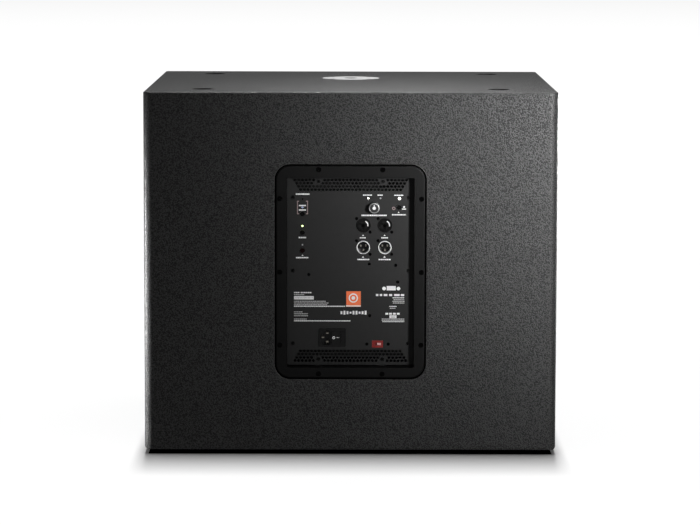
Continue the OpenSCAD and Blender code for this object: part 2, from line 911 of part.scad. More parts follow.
module amp_plate_screws() {
    color("#9a9a9e") on_rear([0, 0], plate_y)
        at_frame_screws(plate_screw_top_x, plate_screw_z, plate_screw_x, plate_screw_side_z)
            pan_screw(1.6, plate_t + lug_t + 4, 3, 1.6);
}

// Small screws of the sockets, the voltage selector and the heat sink.
module panel_screws() {
    sockets = concat(combo_places, thru_places);
    socket_screws = [for (place = sockets, offset = socket_screw_offsets) place + offset];
    selector_screws = [for (side = [-1, 1]) selector_place + [side * selector_screw_x, 0]];
    color("#3a3a3e") for (place = concat(socket_screws, selector_screws, sink_screw_places)) {
        on_rear(place, plate_y) pan_screw(1.4, 6, 2.6, 1.4);
    }
}

module amp_back_cover() {
    color("slategray") difference() {
        on_rear(window_place, cover_back_y) rounded_plate(box_w, box_h, cover_depth, 4);
        on_rear(window_place, cover_back_y + cover_wall)
            rounded_plate(box_w - 2 * cover_wall, box_h - 2 * cover_wall, cover_depth, 3);
    }
}

module heat_sink() {
    sink_w = 172;
    sink_h = 98;
    base_t = 6;
    fin_t = 2;
    fin_l = 39;
    gaps = 16;
    fin_pitch = (sink_w - fin_t) / gaps;
    color("lightslategray") on_rear([0, -35], plate_back_y - base_t)
        translate([-sink_w / 2, -sink_h / 2, 0]) {
            cube([sink_w, sink_h, base_t]);
            for (i = [0:gaps]) {
                translate([i * fin_pitch, 0, 1 - fin_l]) cube([fin_t, sink_h, fin_l]);
            }
        }
}

module amplifier_board() {
    color("darkgreen") on_rear([0, -40], 232) {
        translate([-94, -62, 0]) cube([188, 124, board_t]);
        for (x = [-70:28:70]) {
            translate([x - 9, -52, -17]) cube([18, 16, 17.5]);
        }
        for (x = [-60:40:60]) {
            translate([x, 20, -23]) cylinder(r = 12, h = 23.5);
        }
    }
}

module power_board() {
    color("darkgreen") on_rear([0, 76], 241) {
        translate([-94, -48, 0]) cube([188, 96, board_t]);
        for (x = [48, 76], z = [-28, 4, 34]) {
            translate([x, z - 2, -45]) cylinder(r = 12, h = 45.5);
        }
        translate([-90, 28, -18]) cube([60, 16, 18.5]);
    }
}

module transformer() {
    color("goldenrod") on_rear([-40, 66], 241) {
        translate([-32, -25, -48]) cube([64, 50, 48]);
    }
}

// The board behind the sockets and controls, with the switch bodies and the volume control's body on it.
module input_board() {
    color("darkgreen") difference() {
        union() {
            on_rear([0, 75], board_y) translate([-95, -56, 0]) cube([190, 112, board_t]);
            for (place = [light_place, link_place, equaliser_place, polarity_place]) {
                on_rear(place, board_y + board_t / 2)
                    translate([-4.5, -4.5, 0]) cube([9, 9, switch_front_y - board_y - board_t / 2]);
            }
            on_rear(knob_place, board_y + board_t / 2) {
                cylinder(r = 8, h = 11);
                cylinder(r = 4.5, h = plate_y - board_y - board_t / 2 + 0.6);
            }
        }
        on_rear(knob_place, board_y + board_t + 1) cylinder(r = shaft_r + 0.05, h = 60);
    }
}

// ---------- Sockets ----------

module combo_sockets() {
    color("#111113") for (place = combo_places) {
        on_rear(place, socket_base_y) difference() {
            union() {
                cylinder(r = socket_r, h = plate_y + 1.2 - socket_base_y);
                translate([-socket_half, -socket_half, plate_back_y - 3 - socket_base_y])
                    cube([2 * socket_half, 2 * socket_half, 3]);
            }
            translate([0, 0, 4]) cylinder(r = 3.4, h = 40);
            // A ring-shaped groove takes the shell of a plug, and three holes take its pins.
            translate([0, 0, 18]) tube(9.6, 8.5, 0, 20);
            for (turn = [90, 210, 330]) {
                rotate([0, 0, turn + 180]) translate([5.6, 0, 14]) cylinder(r = 1.4, h = 30);
            }
        }
    }
}

module thru_rings() {
    color("silver") for (place = thru_places) {
        on_rear(place, insert_y) tube(ring_r, ring_inner_r, 0, plate_y + ring_proud - insert_y);
    }
}

module thru_inserts() {
    color("#111113") for (place = thru_places) {
        on_rear(place, socket_base_y) difference() {
            union() {
                cylinder(r = ring_r, h = insert_y - socket_base_y);
                // The mounting flange, around the chrome ring and behind the plate.
                difference() {
                    translate([-socket_half, -socket_half, 10])
                        cube([2 * socket_half, 2 * socket_half, plate_back_y - socket_base_y - 10]);
                    translate([0, 0, insert_y - socket_base_y]) cylinder(r = ring_r + 0.02, h = 40);
                }
            }
            at_thru_pins() translate([0, 0, 8]) cylinder(r = thru_pin_r + 0.02, h = 40);
        }
    }
}

module thru_pins() {
    color("silver") for (place = thru_places) {
        on_rear(place, socket_base_y + 8) at_thru_pins() cylinder(r = thru_pin_r, h = 16);
    }
}

// The three pins stand on a circle, at the corners of a triangle that points down.
module at_thru_pins() {
    for (turn = [30, 150, 270]) {
        rotate([0, 0, turn]) translate([4.8, 0, 0]) children();
    }
}

// ---------- Mains module ----------

// Outline of the plug's cavity: earth side chamfered, on the left seen from behind the cabinet.
function inlet_outline(grow) =
    let (w = inlet_w / 2 + grow, h = inlet_h / 2 + grow, c = 5)
    [[w, -h], [w, h], [-w + c, h], [-w, h - c], [-w, -h + c], [-w + c, -h]];

module mains_inlet() {
    body_depth = module_depth - module_t;
    color("#131315") difference() {
        union() {
            on_rear(inlet_place, plate_y) rounded_plate(module_w, module_h, module_t, 2);
            on_rear(inlet_place, plate_y - body_depth)
                translate([-module_body_w / 2, -module_body_h / 2, 0])
                    cube([module_body_w, module_body_h, body_depth + 1]);
        }
        on_rear(inlet_cavity_place, module_face_y - inlet_depth)
            linear_extrude(inlet_depth + cut) polygon(inlet_outline(0));
        on_rear(inlet_cavity_place, module_face_y - inlet_depth) inlet_pin_cutters();
        on_rear(rocker_place, module_face_y - 13)
            translate([-rocker_w / 2, -rocker_h / 2, 0]) cube([rocker_w, rocker_h, 13 + cut]);
        translate([-rocker_place[0], rocker_pivot_y, mid_z + rocker_place[1]])
            cylinder(r = trunnion_r + 0.05, h = rocker_h + 2.6, center = true);
        on_rear(drawer_place, module_face_y - drawer_l - 1)
            translate([-drawer_w / 2, -drawer_h / 2, 0]) cube([drawer_w, drawer_h, drawer_l + 1 + cut]);
    }
}

module inlet_pin_cutters() {
    for (place = inlet_pin_places) {
        translate([place[0] - 2.05, place[1] - 1.05, -10]) cube([4.1, 2.1, 11]);
    }
}

module inlet_pins() {
    color("silver") on_rear(inlet_cavity_place, module_face_y - inlet_depth) for (place = inlet_pin_places) {
        translate([place[0] - 2, place[1] - 1, -10]) cube([4, 2, 24]);
    }
}

module fuse_drawer() {
    w = drawer_w - 2 * slack;
    h = drawer_h - 2 * slack;
    color("#1a1a1c") on_rear(drawer_place, module_face_y - drawer_l) difference() {
        union() {
            translate([-w / 2, -h / 2, 0]) cube([w, h, drawer_l + 0.6]);
            for (i = [0:4]) {
                translate([-w / 2, -8.4 + 4.2 * i - 0.7, drawer_l]) cube([w, 1.4, 1.4]);
            }
        }
        for (side = [-1, 1]) {
            translate([-drawer_w, side * 5 - 2.9, 3]) cube([2 * drawer_w, 5.8, fuse_l + 0.8]);
        }
    }
}

// One fuse in use and one spare, side by side.
module fuse() {
    color("lightgray") on_rear(drawer_place, module_face_y - drawer_l) for (side = [-1, 1]) {
        translate([0, side * 5, 3.2]) cylinder(r = fuse_r, h = fuse_l);
    }
}

// The rocker turns about an upright pin, and rests with its inner side pressed.
module power_rocker() {
    section = [[-7.3, 3], [0, 1.4], [7.3, 3], [6.2, -2.6], [0, -5], [-6.2, -2.6]];
    h = rocker_h - 2 * slack;
    color("#202022") translate([-rocker_place[0], rocker_pivot_y, mid_z + rocker_place[1]]) {
        rotate([0, 0, rocker_swing / 2]) linear_extrude(h, center = true) polygon(section);
        cylinder(r = trunnion_r, h = h + 2, center = true);
    }
}

// ---------- Voltage selector ----------

module selector_housing() {
    depth = 9;
    flange_w = 2 * selector_screw_x + 8;
    slot_w = selector_knob_w + selector_travel + 2 * slack;
    color("#9c1f1a") on_rear(selector_place, plate_back_y - depth) difference() {
        union() {
            translate([-selector_w / 2, -selector_h / 2, 0])
                cube([selector_w, selector_h, depth + plate_t - 0.3]);
            translate([-flange_w / 2, -selector_h / 2, depth - 2]) cube([flange_w, selector_h, 2]);
        }
        translate([-slot_w / 2, -selector_slot_h / 2, 4]) cube([slot_w, selector_slot_h, 20]);
    }
}

module selector_slide() {
    color("#c2342c") on_rear(selector_place, plate_back_y - 4.7)
        translate([selector_travel / 2 - selector_knob_w / 2, -selector_slot_h / 2 + slack, 0])
            cube([selector_knob_w, selector_slot_h - 2 * slack, 5.6]);
}

// ---------- Lenses, knob and buttons ----------

module indicator_lenses() {
    lens_l = plate_y + 0.5 - socket_base_y;
    color("white") {
        for (place = small_lens_places) {
            on_rear(place, socket_base_y) cylinder(r = small_lens_r, h = lens_l);
        }
        on_rear(power_lens_place, socket_base_y) cylinder(r = power_lens_r, h = lens_l);
    }
}

module volume_knob() {
    color("#151517") on_rear(knob_place, plate_y + 1) difference() {
        union() {
            cylinder(r = knob_r, h = 4);
            cylinder(r1 = knob_r - 0.6, r2 = knob_r - 1.4, h = knob_h - 1);
        }
        translate([0, 0, -cut]) cylinder(r = shaft_r + 0.02, h = 10 + cut);
    }
}

module volume_shaft() {
    shaft_base_y = board_y + board_t + 1.5;
    color("silver") on_rear(knob_place, shaft_base_y)
        cylinder(r = shaft_r, h = plate_y + 10.8 - shaft_base_y);
}

module push_button(place) {
    color("#1a1a1c") on_rear(place, switch_front_y + button_travel + slack)
        cylinder(r = button_r, h = plate_y + 2 - switch_front_y - button_travel - slack);
}

module light_button() {
    push_button(light_place);
}

module link_button() {
    push_button(link_place);
}

module equaliser_button() {
    push_button(equaliser_place);
}

module polarity_button() {
    push_button(polarity_place);
}

top_panel();
bottom_panel();
left_panel();
right_panel();
rear_panel();
front_baffle();
window_brace();
front_grille();
grille_foam();
grille_screws();
front_light();
cabinet_screws();
port_tube_left();
port_tube_right();
handle_left();
handle_right();
pole_cup();
stacking_cups();
rubber_feet();
woofer_basket();
woofer_top_plate();
woofer_magnet();
woofer_back_plate();
woofer_gasket();
woofer_bolts();
speaker_cable();
cone();
dust_cap();
voice_coil();
surround();
spider();
amp_frame();
amp_frame_screws();
amp_plate();
amp_plate_screws();
panel_screws();
amp_back_cover();
heat_sink();
amplifier_board();
power_board();
transformer();
input_board();
combo_sockets();
thru_rings();
thru_inserts();
thru_pins();
mains_inlet();
inlet_pins();
fuse_drawer();
fuse();
power_rocker();
selector_housing();
selector_slide();
indicator_lenses();
volume_knob();
volume_shaft();
light_button();
link_button();
equaliser_button();
polarity_button();
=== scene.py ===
"""Looks for a powered bass cabinet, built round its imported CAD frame.

The grille faces -Y and the amplifier faces +Y. Places in the scene are in metres. Outlines, profiles and
heights that are drawn on a surface are in millimetres.
"""
import json
import math
import random

import bmesh
import bpy
from mathutils import Matrix, Vector


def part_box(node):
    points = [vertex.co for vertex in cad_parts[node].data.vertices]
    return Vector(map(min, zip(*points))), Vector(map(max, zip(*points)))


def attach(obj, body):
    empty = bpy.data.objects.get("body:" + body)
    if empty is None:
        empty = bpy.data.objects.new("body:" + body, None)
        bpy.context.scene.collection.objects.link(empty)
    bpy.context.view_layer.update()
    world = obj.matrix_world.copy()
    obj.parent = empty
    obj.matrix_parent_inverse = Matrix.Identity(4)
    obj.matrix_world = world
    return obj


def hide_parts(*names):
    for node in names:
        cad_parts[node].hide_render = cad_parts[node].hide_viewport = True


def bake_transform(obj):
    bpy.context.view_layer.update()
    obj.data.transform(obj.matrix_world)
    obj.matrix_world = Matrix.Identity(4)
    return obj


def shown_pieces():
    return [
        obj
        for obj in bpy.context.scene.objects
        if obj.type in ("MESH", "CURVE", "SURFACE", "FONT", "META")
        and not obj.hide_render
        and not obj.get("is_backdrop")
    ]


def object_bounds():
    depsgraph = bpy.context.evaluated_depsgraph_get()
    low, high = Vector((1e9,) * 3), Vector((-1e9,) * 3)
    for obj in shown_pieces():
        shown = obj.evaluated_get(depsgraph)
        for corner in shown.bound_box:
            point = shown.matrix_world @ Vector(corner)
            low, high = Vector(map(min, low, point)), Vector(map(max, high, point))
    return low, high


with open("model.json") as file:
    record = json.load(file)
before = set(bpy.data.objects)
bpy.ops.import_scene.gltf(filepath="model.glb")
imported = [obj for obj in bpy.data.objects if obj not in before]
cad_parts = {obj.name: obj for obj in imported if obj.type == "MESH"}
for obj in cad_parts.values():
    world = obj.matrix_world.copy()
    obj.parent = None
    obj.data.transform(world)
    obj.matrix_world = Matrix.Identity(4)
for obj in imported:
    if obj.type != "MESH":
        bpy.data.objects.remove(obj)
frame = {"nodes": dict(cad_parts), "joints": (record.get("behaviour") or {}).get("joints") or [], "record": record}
cad_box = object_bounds()

MM = 0.001
scene = bpy.context.scene
nodes = frame["nodes"]

# ---------- Places taken from the frame ----------

cabinet_low, cabinet_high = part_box("left_panel")
middle_z = (cabinet_low.z + cabinet_high.z) / 2
rear_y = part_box("rear_panel")[1].y
plate_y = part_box("amp_plate")[1].y
# Looking at the rear: to the right, up, and towards the eye.
ACROSS = Vector((-1, 0, 0))
UP = Vector((0, 0, 1))
OUT = Vector((0, 1, 0))


class Surface:
    """A flat place to draw on, in millimetres: across, up and out of it."""

    def __init__(self, origin, across, up, out):
        self.origin, self.across, self.up, self.out = origin, across, up, out

    def point(self, u, v, height=0.0):
        return self.origin + (self.across * u + self.up * v + self.out * height) * MM


def rear_face(low, high):
    """The rear of a box, with its origin in the middle."""
    return Surface(Vector(((low.x + high.x) / 2, high.y, (low.z + high.z) / 2)), ACROSS, UP, OUT)


def front_face(low, high):
    """The front of a box, with its origin in the middle."""
    return Surface(Vector(((low.x + high.x) / 2, low.y, (low.z + high.z) / 2)), -ACROSS, UP, -OUT)


def width_and_height(low, high):
    """The size of a box across and up, in millimetres."""
    return (high.x - low.x) / MM, (high.z - low.z) / MM


control_plate = Surface(Vector((0, plate_y, middle_z)), ACROSS, UP, OUT)


# ---------- Camera, lights and floor ----------

def make_camera():
    """Far behind the cabinet with a long lens, above its top and tilted down a little."""
    data = bpy.data.cameras.new("camera")
    data.sensor_width = 36
    data.lens = 156.7
    data.clip_end = 400
    camera = bpy.data.objects.new("camera", data)
    scene.collection.objects.link(camera)
    sideways, distance, height = 0.0008, 4.882, 0.888
    pitch, roll = math.radians(6.7), math.radians(0.137)
    place = Matrix.Translation((sideways, rear_y + distance, height))
    about_face = Matrix.Rotation(math.pi, 4, "Z")
    tilt = Matrix.Rotation(math.pi / 2 - pitch, 4, "X")
    turn = about_face @ tilt @ Matrix.Rotation(roll, 4, "Z")
    camera.matrix_world = place @ turn
    scene.camera = camera


def new_lamp(name, kind, place, target, power):
    """Puts a lamp in its place, aims it, and returns its data."""
    data = bpy.data.lights.new(name, kind)
    data.energy = power
    lamp = bpy.data.objects.new(name, data)
    scene.collection.objects.link(lamp)
    lamp.location = place
    lamp.rotation_mode = "QUATERNION"
    lamp.rotation_quaternion = (Vector(target) - Vector(place)).to_track_quat("-Z", "Y")
    return data


def area_light(name, place, target, width, height, power):
    data = new_lamp(name, "AREA", place, target, power)
    data.shape = "RECTANGLE"
    data.size = width
    data.size_y = height


def spot_light(name, place, target, width_deg, power, source_radius):
    """A gridded lamp: its pool of light fades evenly to nothing at the edge of the cone."""
    data = new_lamp(name, "SPOT", place, target, power)
    data.shadow_soft_size = source_radius
    data.spot_size = math.radians(width_deg)
    data.spot_blend = 1.0


def make_lights():
    """A key for the rear, and lamps for the top, the floor, one corner and the front."""
    # The key stands at the camera's right. Three cones from one place make its pool, which is brightest at
    # the upper right.
    key_place, key_radius = (-1.5, 3.3, 0.95), 0.28
    spot_light("key_wide", key_place, (-0.848, rear_y, 0.777), 36.4, 850, key_radius)
    spot_light("key_middle", key_place, (-0.565, rear_y, 0.695), 20.1, 850, key_radius)
    spot_light("key_fill", key_place, (-0.167, rear_y, 0.298), 20.8, 80, key_radius)
    spot_light("top_pool", (-0.1, -0.9, 1.6), (-0.03, 0.5, 0.589), 34, 20, 0.25)
    # Far overhead and long from front to rear: it lights the floor and makes the soft shadow there.
    area_light("high_back", (0, -8.2, 59.4), (0, 0, 0), 3, 20, 33100)
    # A rim for the corner at the camera's left, and a low fill for the grille.
    spot_light("rim_left", (1.25, 0.16, 0.20), (0.33, 0.40, 0.22), 40, 150, 0.16)
    area_light("front_fill", (-1.7, -2.4, 0.40), (0, 0, 0.3), 1.4, 0.3, 60)


def keep_lamps_off_floor(names):
    """These lamps light the cabinet only, as if flagged, so that the floor keeps one soft shadow."""
    lit = bpy.data.collections.new("cabinet_pieces")
    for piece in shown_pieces():
        lit.objects.link(piece)
    for name in names:
        bpy.data.objects[name].light_linking.receiver_collection = lit


def make_world():
    """An even, dim white room. The lamps do most of the work."""
    world = bpy.data.worlds.new("studio")
    scene.world = world
    world.use_nodes = True
    background = world.node_tree.nodes["Background"]
    background.inputs["Color"].default_value = (1, 1, 1, 1)
    background.inputs["Strength"].default_value = 0.18
    scene.view_settings.view_transform = "Standard"


def flat_sheet(name, low, high, z, material_name, level):
    """A level rectangle with a dull, even grey finish, between two corners."""
    corners = [(low[0], low[1], z), (high[0], low[1], z), (high[0], high[1], z), (low[0], high[1], z)]
    mesh = bpy.data.meshes.new(name)
    mesh.from_pydata(corners, [], [(0, 1, 2, 3)])
    sheet = bpy.data.objects.new(name, mesh)
    scene.collection.objects.link(sheet)
    made, _, shader = new_material(material_name)
    shader.inputs["Base Color"].default_value = (*grey(level), 1)
    shader.inputs["Roughness"].default_value = 0.9
    shader.inputs["Specular IOR Level"].default_value = 0
    mesh.materials.append(made)
    return sheet


def make_floor():
    """A pale floor that reaches past the camera. The paint doesn't mirror it or take light from it."""
    reach = 150
    floor = flat_sheet("floor", (-reach, -reach), (reach, reach), 0, "studio_floor", 0.955)
    floor.visible_glossy = False
    floor.visible_diffuse = False
    floor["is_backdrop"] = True


def make_shadow_card():
    """A black card on the floor between the feet: a painted shadow, which keeps the low gap under the cabinet
    dark.
    """
    inset = 6 * MM
    low, high = cad_box
    near_corner = (low[0] + inset, low[1] + inset)
    far_corner = (high[0] - inset, high[1] - inset)
    # Painted shadow: a black sheet where the floor under the cabinet would lie in shade.
    card = flat_sheet("shadow_card", near_corner, far_corner, 0.4 * MM, "painted_shadow_card", 0)
    card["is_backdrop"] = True


# ---------- Material helpers ----------

def new_material(name):
    made = bpy.data.materials.new(name)
    made.use_nodes = True
    return made, made.node_tree, made.node_tree.nodes["Principled BSDF"]


def coordinates(tree, stretch=(1, 1, 1)):
    """Object coordinates in metres, stretched along each axis."""
    source = tree.nodes.new("ShaderNodeTexCoord")
    mapping = tree.nodes.new("ShaderNodeMapping")
    mapping.inputs["Scale"].default_value = stretch
    tree.links.new(source.outputs["Object"], mapping.inputs["Vector"])
    return mapping.outputs["Vector"]


def noise(tree, scale, detail=2.0, stretch=(1, 1, 1)):
    node = tree.nodes.new("ShaderNodeTexNoise")
    node.inputs["Scale"].default_value = scale
    node.inputs["Detail"].default_value = detail
    tree.links.new(coordinates(tree, stretch), node.inputs["Vector"])
    return node.outputs["Fac"]


def cells(tree, scale, feature="F1"):
    node = tree.nodes.new("ShaderNodeTexVoronoi")
    node.feature = feature
    node.inputs["Scale"].default_value = scale
    tree.links.new(coordinates(tree), node.inputs["Vector"])
    return node.outputs["Distance"]


def ramp(tree, value, low, high, out_low=0.0, out_high=1.0):
    """Maps a value from low..high to out_low..out_high, clamped."""
    node = tree.nodes.new("ShaderNodeMapRange")
    node.inputs["From Min"].default_value = low
    node.inputs["From Max"].default_value = high
    node.inputs["To Min"].default_value = out_low
    node.inputs["To Max"].default_value = out_high
    tree.links.new(value, node.inputs["Value"])
    return node.outputs["Result"]


def combine(tree, first, second, operation="ADD", second_scale=1.0):
    """Adds or multiplies two values, after the second one is scaled."""
    scaled = tree.nodes.new("ShaderNodeMath")
    scaled.operation = "MULTIPLY"
    tree.links.new(second, scaled.inputs[0])
    scaled.inputs[1].default_value = second_scale
    node = tree.nodes.new("ShaderNodeMath")
    node.operation = operation
    tree.links.new(first, node.inputs[0])
    tree.links.new(scaled.outputs[0], node.inputs[1])
    return node.outputs[0]


def mixed(tree, value, low, high):
    """A colour between two others, as the value goes from 0 to 1."""
    node = tree.nodes.new("ShaderNodeMix")
    node.data_type = "RGBA"
    node.inputs["A"].default_value = (*low, 1)
    node.inputs["B"].default_value = (*high, 1)
    tree.links.new(value, node.inputs["Factor"])
    return node.outputs["Result"]


def mix_colour(tree, shader, value, low, high):
    tree.links.new(mixed(tree, value, low, high), shader.inputs["Base Color"])


def bump(tree, shader, value, distance_mm, strength=1.0):
    node = tree.nodes.new("ShaderNodeBump")
    node.inputs["Distance"].default_value = distance_mm * MM
    node.inputs["Strength"].default_value = strength
    tree.links.new(value, node.inputs["Height"])
    tree.links.new(node.outputs["Normal"], shader.inputs["Normal"])


def link_roughness(tree, shader, value, low, high):
    tree.links.new(ramp(tree, value, 0.3, 0.7, low, high), shader.inputs["Roughness"])


def grey(level):
    return (level, level, level)


def times(colour, factor):
    return tuple(channel * factor for channel in colour)


# ---------- Materials, one for each slot of the record ----------

def textured_paint(name="textured_paint", level=0.0080, grain=640, depth=0.28):
    """Sprayed paint with a pebbled grain of about 1.5 mm, glossier on the tops of the pebbles, with painted light
    on the tops and painted shade in the hollows.
    """
    made, tree, shader = new_material(name)
    pebbles = ramp(tree, noise(tree, grain, 0.8), 0.40, 0.60)
    fine = noise(tree, grain * 4, 2.0)
    height = combine(tree, pebbles, fine, "ADD", 0.06)
    bump(tree, shader, height, depth, 1.0)
    # Painted light and shade: the colour is palest on the pebble tops and darkest in the hollows between them.
    mix_colour(tree, shader, pebbles, grey(level * 0.05), grey(level * 3.9))
    link_roughness(tree, shader, pebbles, 0.68, 0.28)
    shader.inputs["Specular IOR Level"].default_value = 0.43
    return made


def powder_coat(name, colour, rough=0.45, grain=1500, depth=0.06, gloss=0.5):
    """Fine even powder coat on metal."""
    made, tree, shader = new_material(name)
    shader.inputs["Specular IOR Level"].default_value = gloss
    peel = noise(tree, grain, 2.0)
    bump(tree, shader, peel, depth, 0.8)
    mix_colour(tree, shader, noise(tree, 25, 3), times(colour, 0.9), times(colour, 1.12))
    link_roughness(tree, shader, noise(tree, 120, 3), rough - 0.05, rough + 0.07)
    return made


def moulded_plastic(name, colour, rough=0.42, grain=2200, depth=0.04, gloss=0.5):
    made, tree, shader = new_material(name)
    shader.inputs["Specular IOR Level"].default_value = gloss
    bump(tree, shader, noise(tree, grain, 3.0), depth, 0.7)
    mix_colour(tree, shader, noise(tree, 40, 3), times(colour, 0.88), times(colour, 1.15))
    link_roughness(tree, shader, noise(tree, 300, 2), rough - 0.05, rough + 0.06)
    return made


def metal(name, colour, rough=0.3, stretch=(1, 1, 1), grain=900, depth=0.02):
    """Bare metal, with tool marks drawn out along the axes that stretch makes short."""
    made, tree, shader = new_material(name)
    shader.inputs["Metallic"].default_value = 1
    marks = noise(tree, grain, 3.0, stretch)
    bump(tree, shader, marks, depth, 0.5)
    mix_colour(tree, shader, marks, times(colour, 0.85), colour)
    link_roughness(tree, shader, noise(tree, 90, 3), rough - 0.07, rough + 0.1)
    return made


def turned_zinc(name):
    """Zinc turned on a lathe round the pole socket's axis, pale on the flange, with painted shade in the bore."""
    made, tree, shader = new_material(name)
    shader.inputs["Metallic"].default_value = 1
    low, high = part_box("pole_cup")
    source = tree.nodes.new("ShaderNodeTexCoord")
    mapping = tree.nodes.new("ShaderNodeMapping")
    centre = (low + high) / 2
    mapping.inputs["Location"].default_value = (-centre.x, -centre.y, 0)
    tree.links.new(source.outputs["Object"], mapping.inputs["Vector"])
    rings = tree.nodes.new("ShaderNodeTexWave")
    rings.wave_type = "RINGS"
    rings.rings_direction = "Z"
    rings.inputs["Scale"].default_value = 260
    rings.inputs["Distortion"].default_value = 0.6
    rings.inputs["Detail Scale"].default_value = 4
    tree.links.new(mapping.outputs["Vector"], rings.inputs["Vector"])
    bump(tree, shader, rings.outputs["Fac"], 0.01, 0.3)
    # The distance from the axis tells the bore from the flange, and the bore is painted dark as shade.
    flat = tree.nodes.new("ShaderNodeVectorMath")
    flat.operation = "MULTIPLY"
    flat.inputs[1].default_value = (1, 1, 0)
    tree.links.new(mapping.outputs["Vector"], flat.inputs[0])
    distance = tree.nodes.new("ShaderNodeVectorMath")
    distance.operation = "LENGTH"
    tree.links.new(flat.outputs["Vector"], distance.inputs[0])
    mouth_inner, mouth_outer = 11.2 * MM, 11.8 * MM
    outside_bore = ramp(tree, distance.outputs["Value"], mouth_inner, mouth_outer)
    patches = ramp(tree, noise(tree, 60, 4), 0.2, 0.8, 0.8, 1.0)
    # Painted shade: dark in the bore. The flange is pale, with random patches of tone.
    mix_colour(tree, shader, combine(tree, outside_bore, patches, "MULTIPLY"), grey(0.02), grey(0.58))
    link_roughness(tree, shader, noise(tree, 150, 4), 0.5, 0.62)
    return made


def weave(name, dark, light, pitch_mm):
    """Cloth: two crossed sets of threads."""
    made, tree, shader = new_material(name)
    waves = []
    for direction in ("X", "Z"):
        node = tree.nodes.new("ShaderNodeTexWave")
        node.bands_direction = direction
        node.inputs["Scale"].default_value = math.pi / (10 * pitch_mm * MM)
        node.inputs["Distortion"].default_value = 0.4
        tree.links.new(coordinates(tree), node.inputs["Vector"])
        waves.append(node.outputs["Fac"])
    threads = combine(tree, waves[0], waves[1], "MULTIPLY")
    bump(tree, shader, threads, 0.12, 0.8)
    mix_colour(tree, shader, threads, dark, light)
    link_roughness(tree, shader, noise(tree, 200, 2), 0.75, 0.9)
    shader.inputs["Sheen Weight"].default_value = 0.15
    return made


def open_foam(name):
    made, tree, shader = new_material(name)
    pores = cells(tree, 900)
    bump(tree, shader, pores, 0.6, 1.0)
    mix_colour(tree, shader, ramp(tree, pores, 0.1, 0.7), grey(0.004), grey(0.03))
    shader.inputs["Roughness"].default_value = 0.95
    shader.inputs["Sheen Weight"].default_value = 0.2
    return made


def pressed_pulp(name):
    """Coated paper pulp with short fibres in two directions."""
    made, tree, shader = new_material(name)
    fibres = combine(tree, noise(tree, 500, 5, (1, 1, 3)), noise(tree, 600, 5, (3, 1, 1)), "ADD", 0.8)
    bump(tree, shader, fibres, 0.2, 0.8)
    mix_colour(tree, shader, ramp(tree, fibres, 0.6, 1.2), grey(0.012), grey(0.035))
    link_roughness(tree, shader, noise(tree, 80, 3), 0.6, 0.8)
    return made


def plywood(name):
    made, tree, shader = new_material(name)
    figure = noise(tree, 14, 6, (1, 1, 0.12))
    mix_colour(tree, shader, ramp(tree, figure, 0.3, 0.7), (0.42, 0.26, 0.13), (0.66, 0.47, 0.28))
    bump(tree, shader, noise(tree, 300, 4, (1, 1, 0.1)), 0.08, 0.6)
    link_roughness(tree, shader, figure, 0.55, 0.72)
    return made


def rubber(name):
    made, tree, shader = new_material(name)
    bump(tree, shader, noise(tree, 1400, 3), 0.06, 0.7)
    mix_colour(tree, shader, noise(tree, 60, 3), grey(0.0096), grey(0.0192))
    link_roughness(tree, shader, noise(tree, 200, 3), 0.68, 0.85)
    return made


def solder_mask(name):
    """Black board with a faint pattern of tracks."""
    made, tree, shader = new_material(name)
    tracks = ramp(tree, cells(tree, 130, "DISTANCE_TO_EDGE"), 0.02, 0.06)
    mix_colour(tree, shader, tracks, (0.003, 0.006, 0.004), (0.001, 0.002, 0.0015))
    bump(tree, shader, tracks, 0.03, 0.5)
    link_roughness(tree, shader, noise(tree, 200, 2), 0.45, 0.6)
    shader.inputs["Specular IOR Level"].default_value = 0.08
    return made


def enamelled_wire(name, colour):
    """Wound wire, with its turns side by side along the coil's axis."""
    made, tree, shader = new_material(name)
    shader.inputs["Metallic"].default_value = 0.7
    turns = tree.nodes.new("ShaderNodeTexWave")
    turns.bands_direction = "Y"
    turns.inputs["Scale"].default_value = 320
    tree.links.new(coordinates(tree), turns.inputs["Vector"])
    bump(tree, shader, turns.outputs["Fac"], 0.1, 0.8)
    mix_colour(tree, shader, turns.outputs["Fac"], times(colour, 0.6), colour)
    link_roughness(tree, shader, noise(tree, 100, 2), 0.3, 0.45)
    return made


def clear_plastic(name, colour, rough=0.2):
    made, tree, shader = new_material(name)
    mix_colour(tree, shader, noise(tree, 200, 3), times(colour, 0.92), colour)
    bump(tree, shader, noise(tree, 700, 2), 0.02, 0.4)
    link_roughness(tree, shader, noise(tree, 150, 2), rough - 0.05, rough + 0.08)
    shader.inputs["Coat Weight"].default_value = 0.4
    return made


def glowing(name, colour, strength):
    """A light pipe with its lamp on."""
    made, tree, shader = new_material(name)
    glow = mixed(tree, noise(tree, 900, 2), times(colour, 0.85), colour)
    tree.links.new(glow, shader.inputs["Emission Color"])
    shader.inputs["Emission Strength"].default_value = strength
    shader.inputs["Base Color"].default_value = (*colour, 1)
    shader.inputs["Roughness"].default_value = 0.25
    return made


def ink(name, colour):
    """Screen print: slightly uneven, matt."""
    made, tree, shader = new_material(name)
    mix_colour(tree, shader, noise(tree, 700, 4), times(colour, 0.86), colour)
    bump(tree, shader, noise(tree, 2600, 2), 0.02, 0.4)
    link_roughness(tree, shader, noise(tree, 400, 2), 0.5, 0.62)
    return made


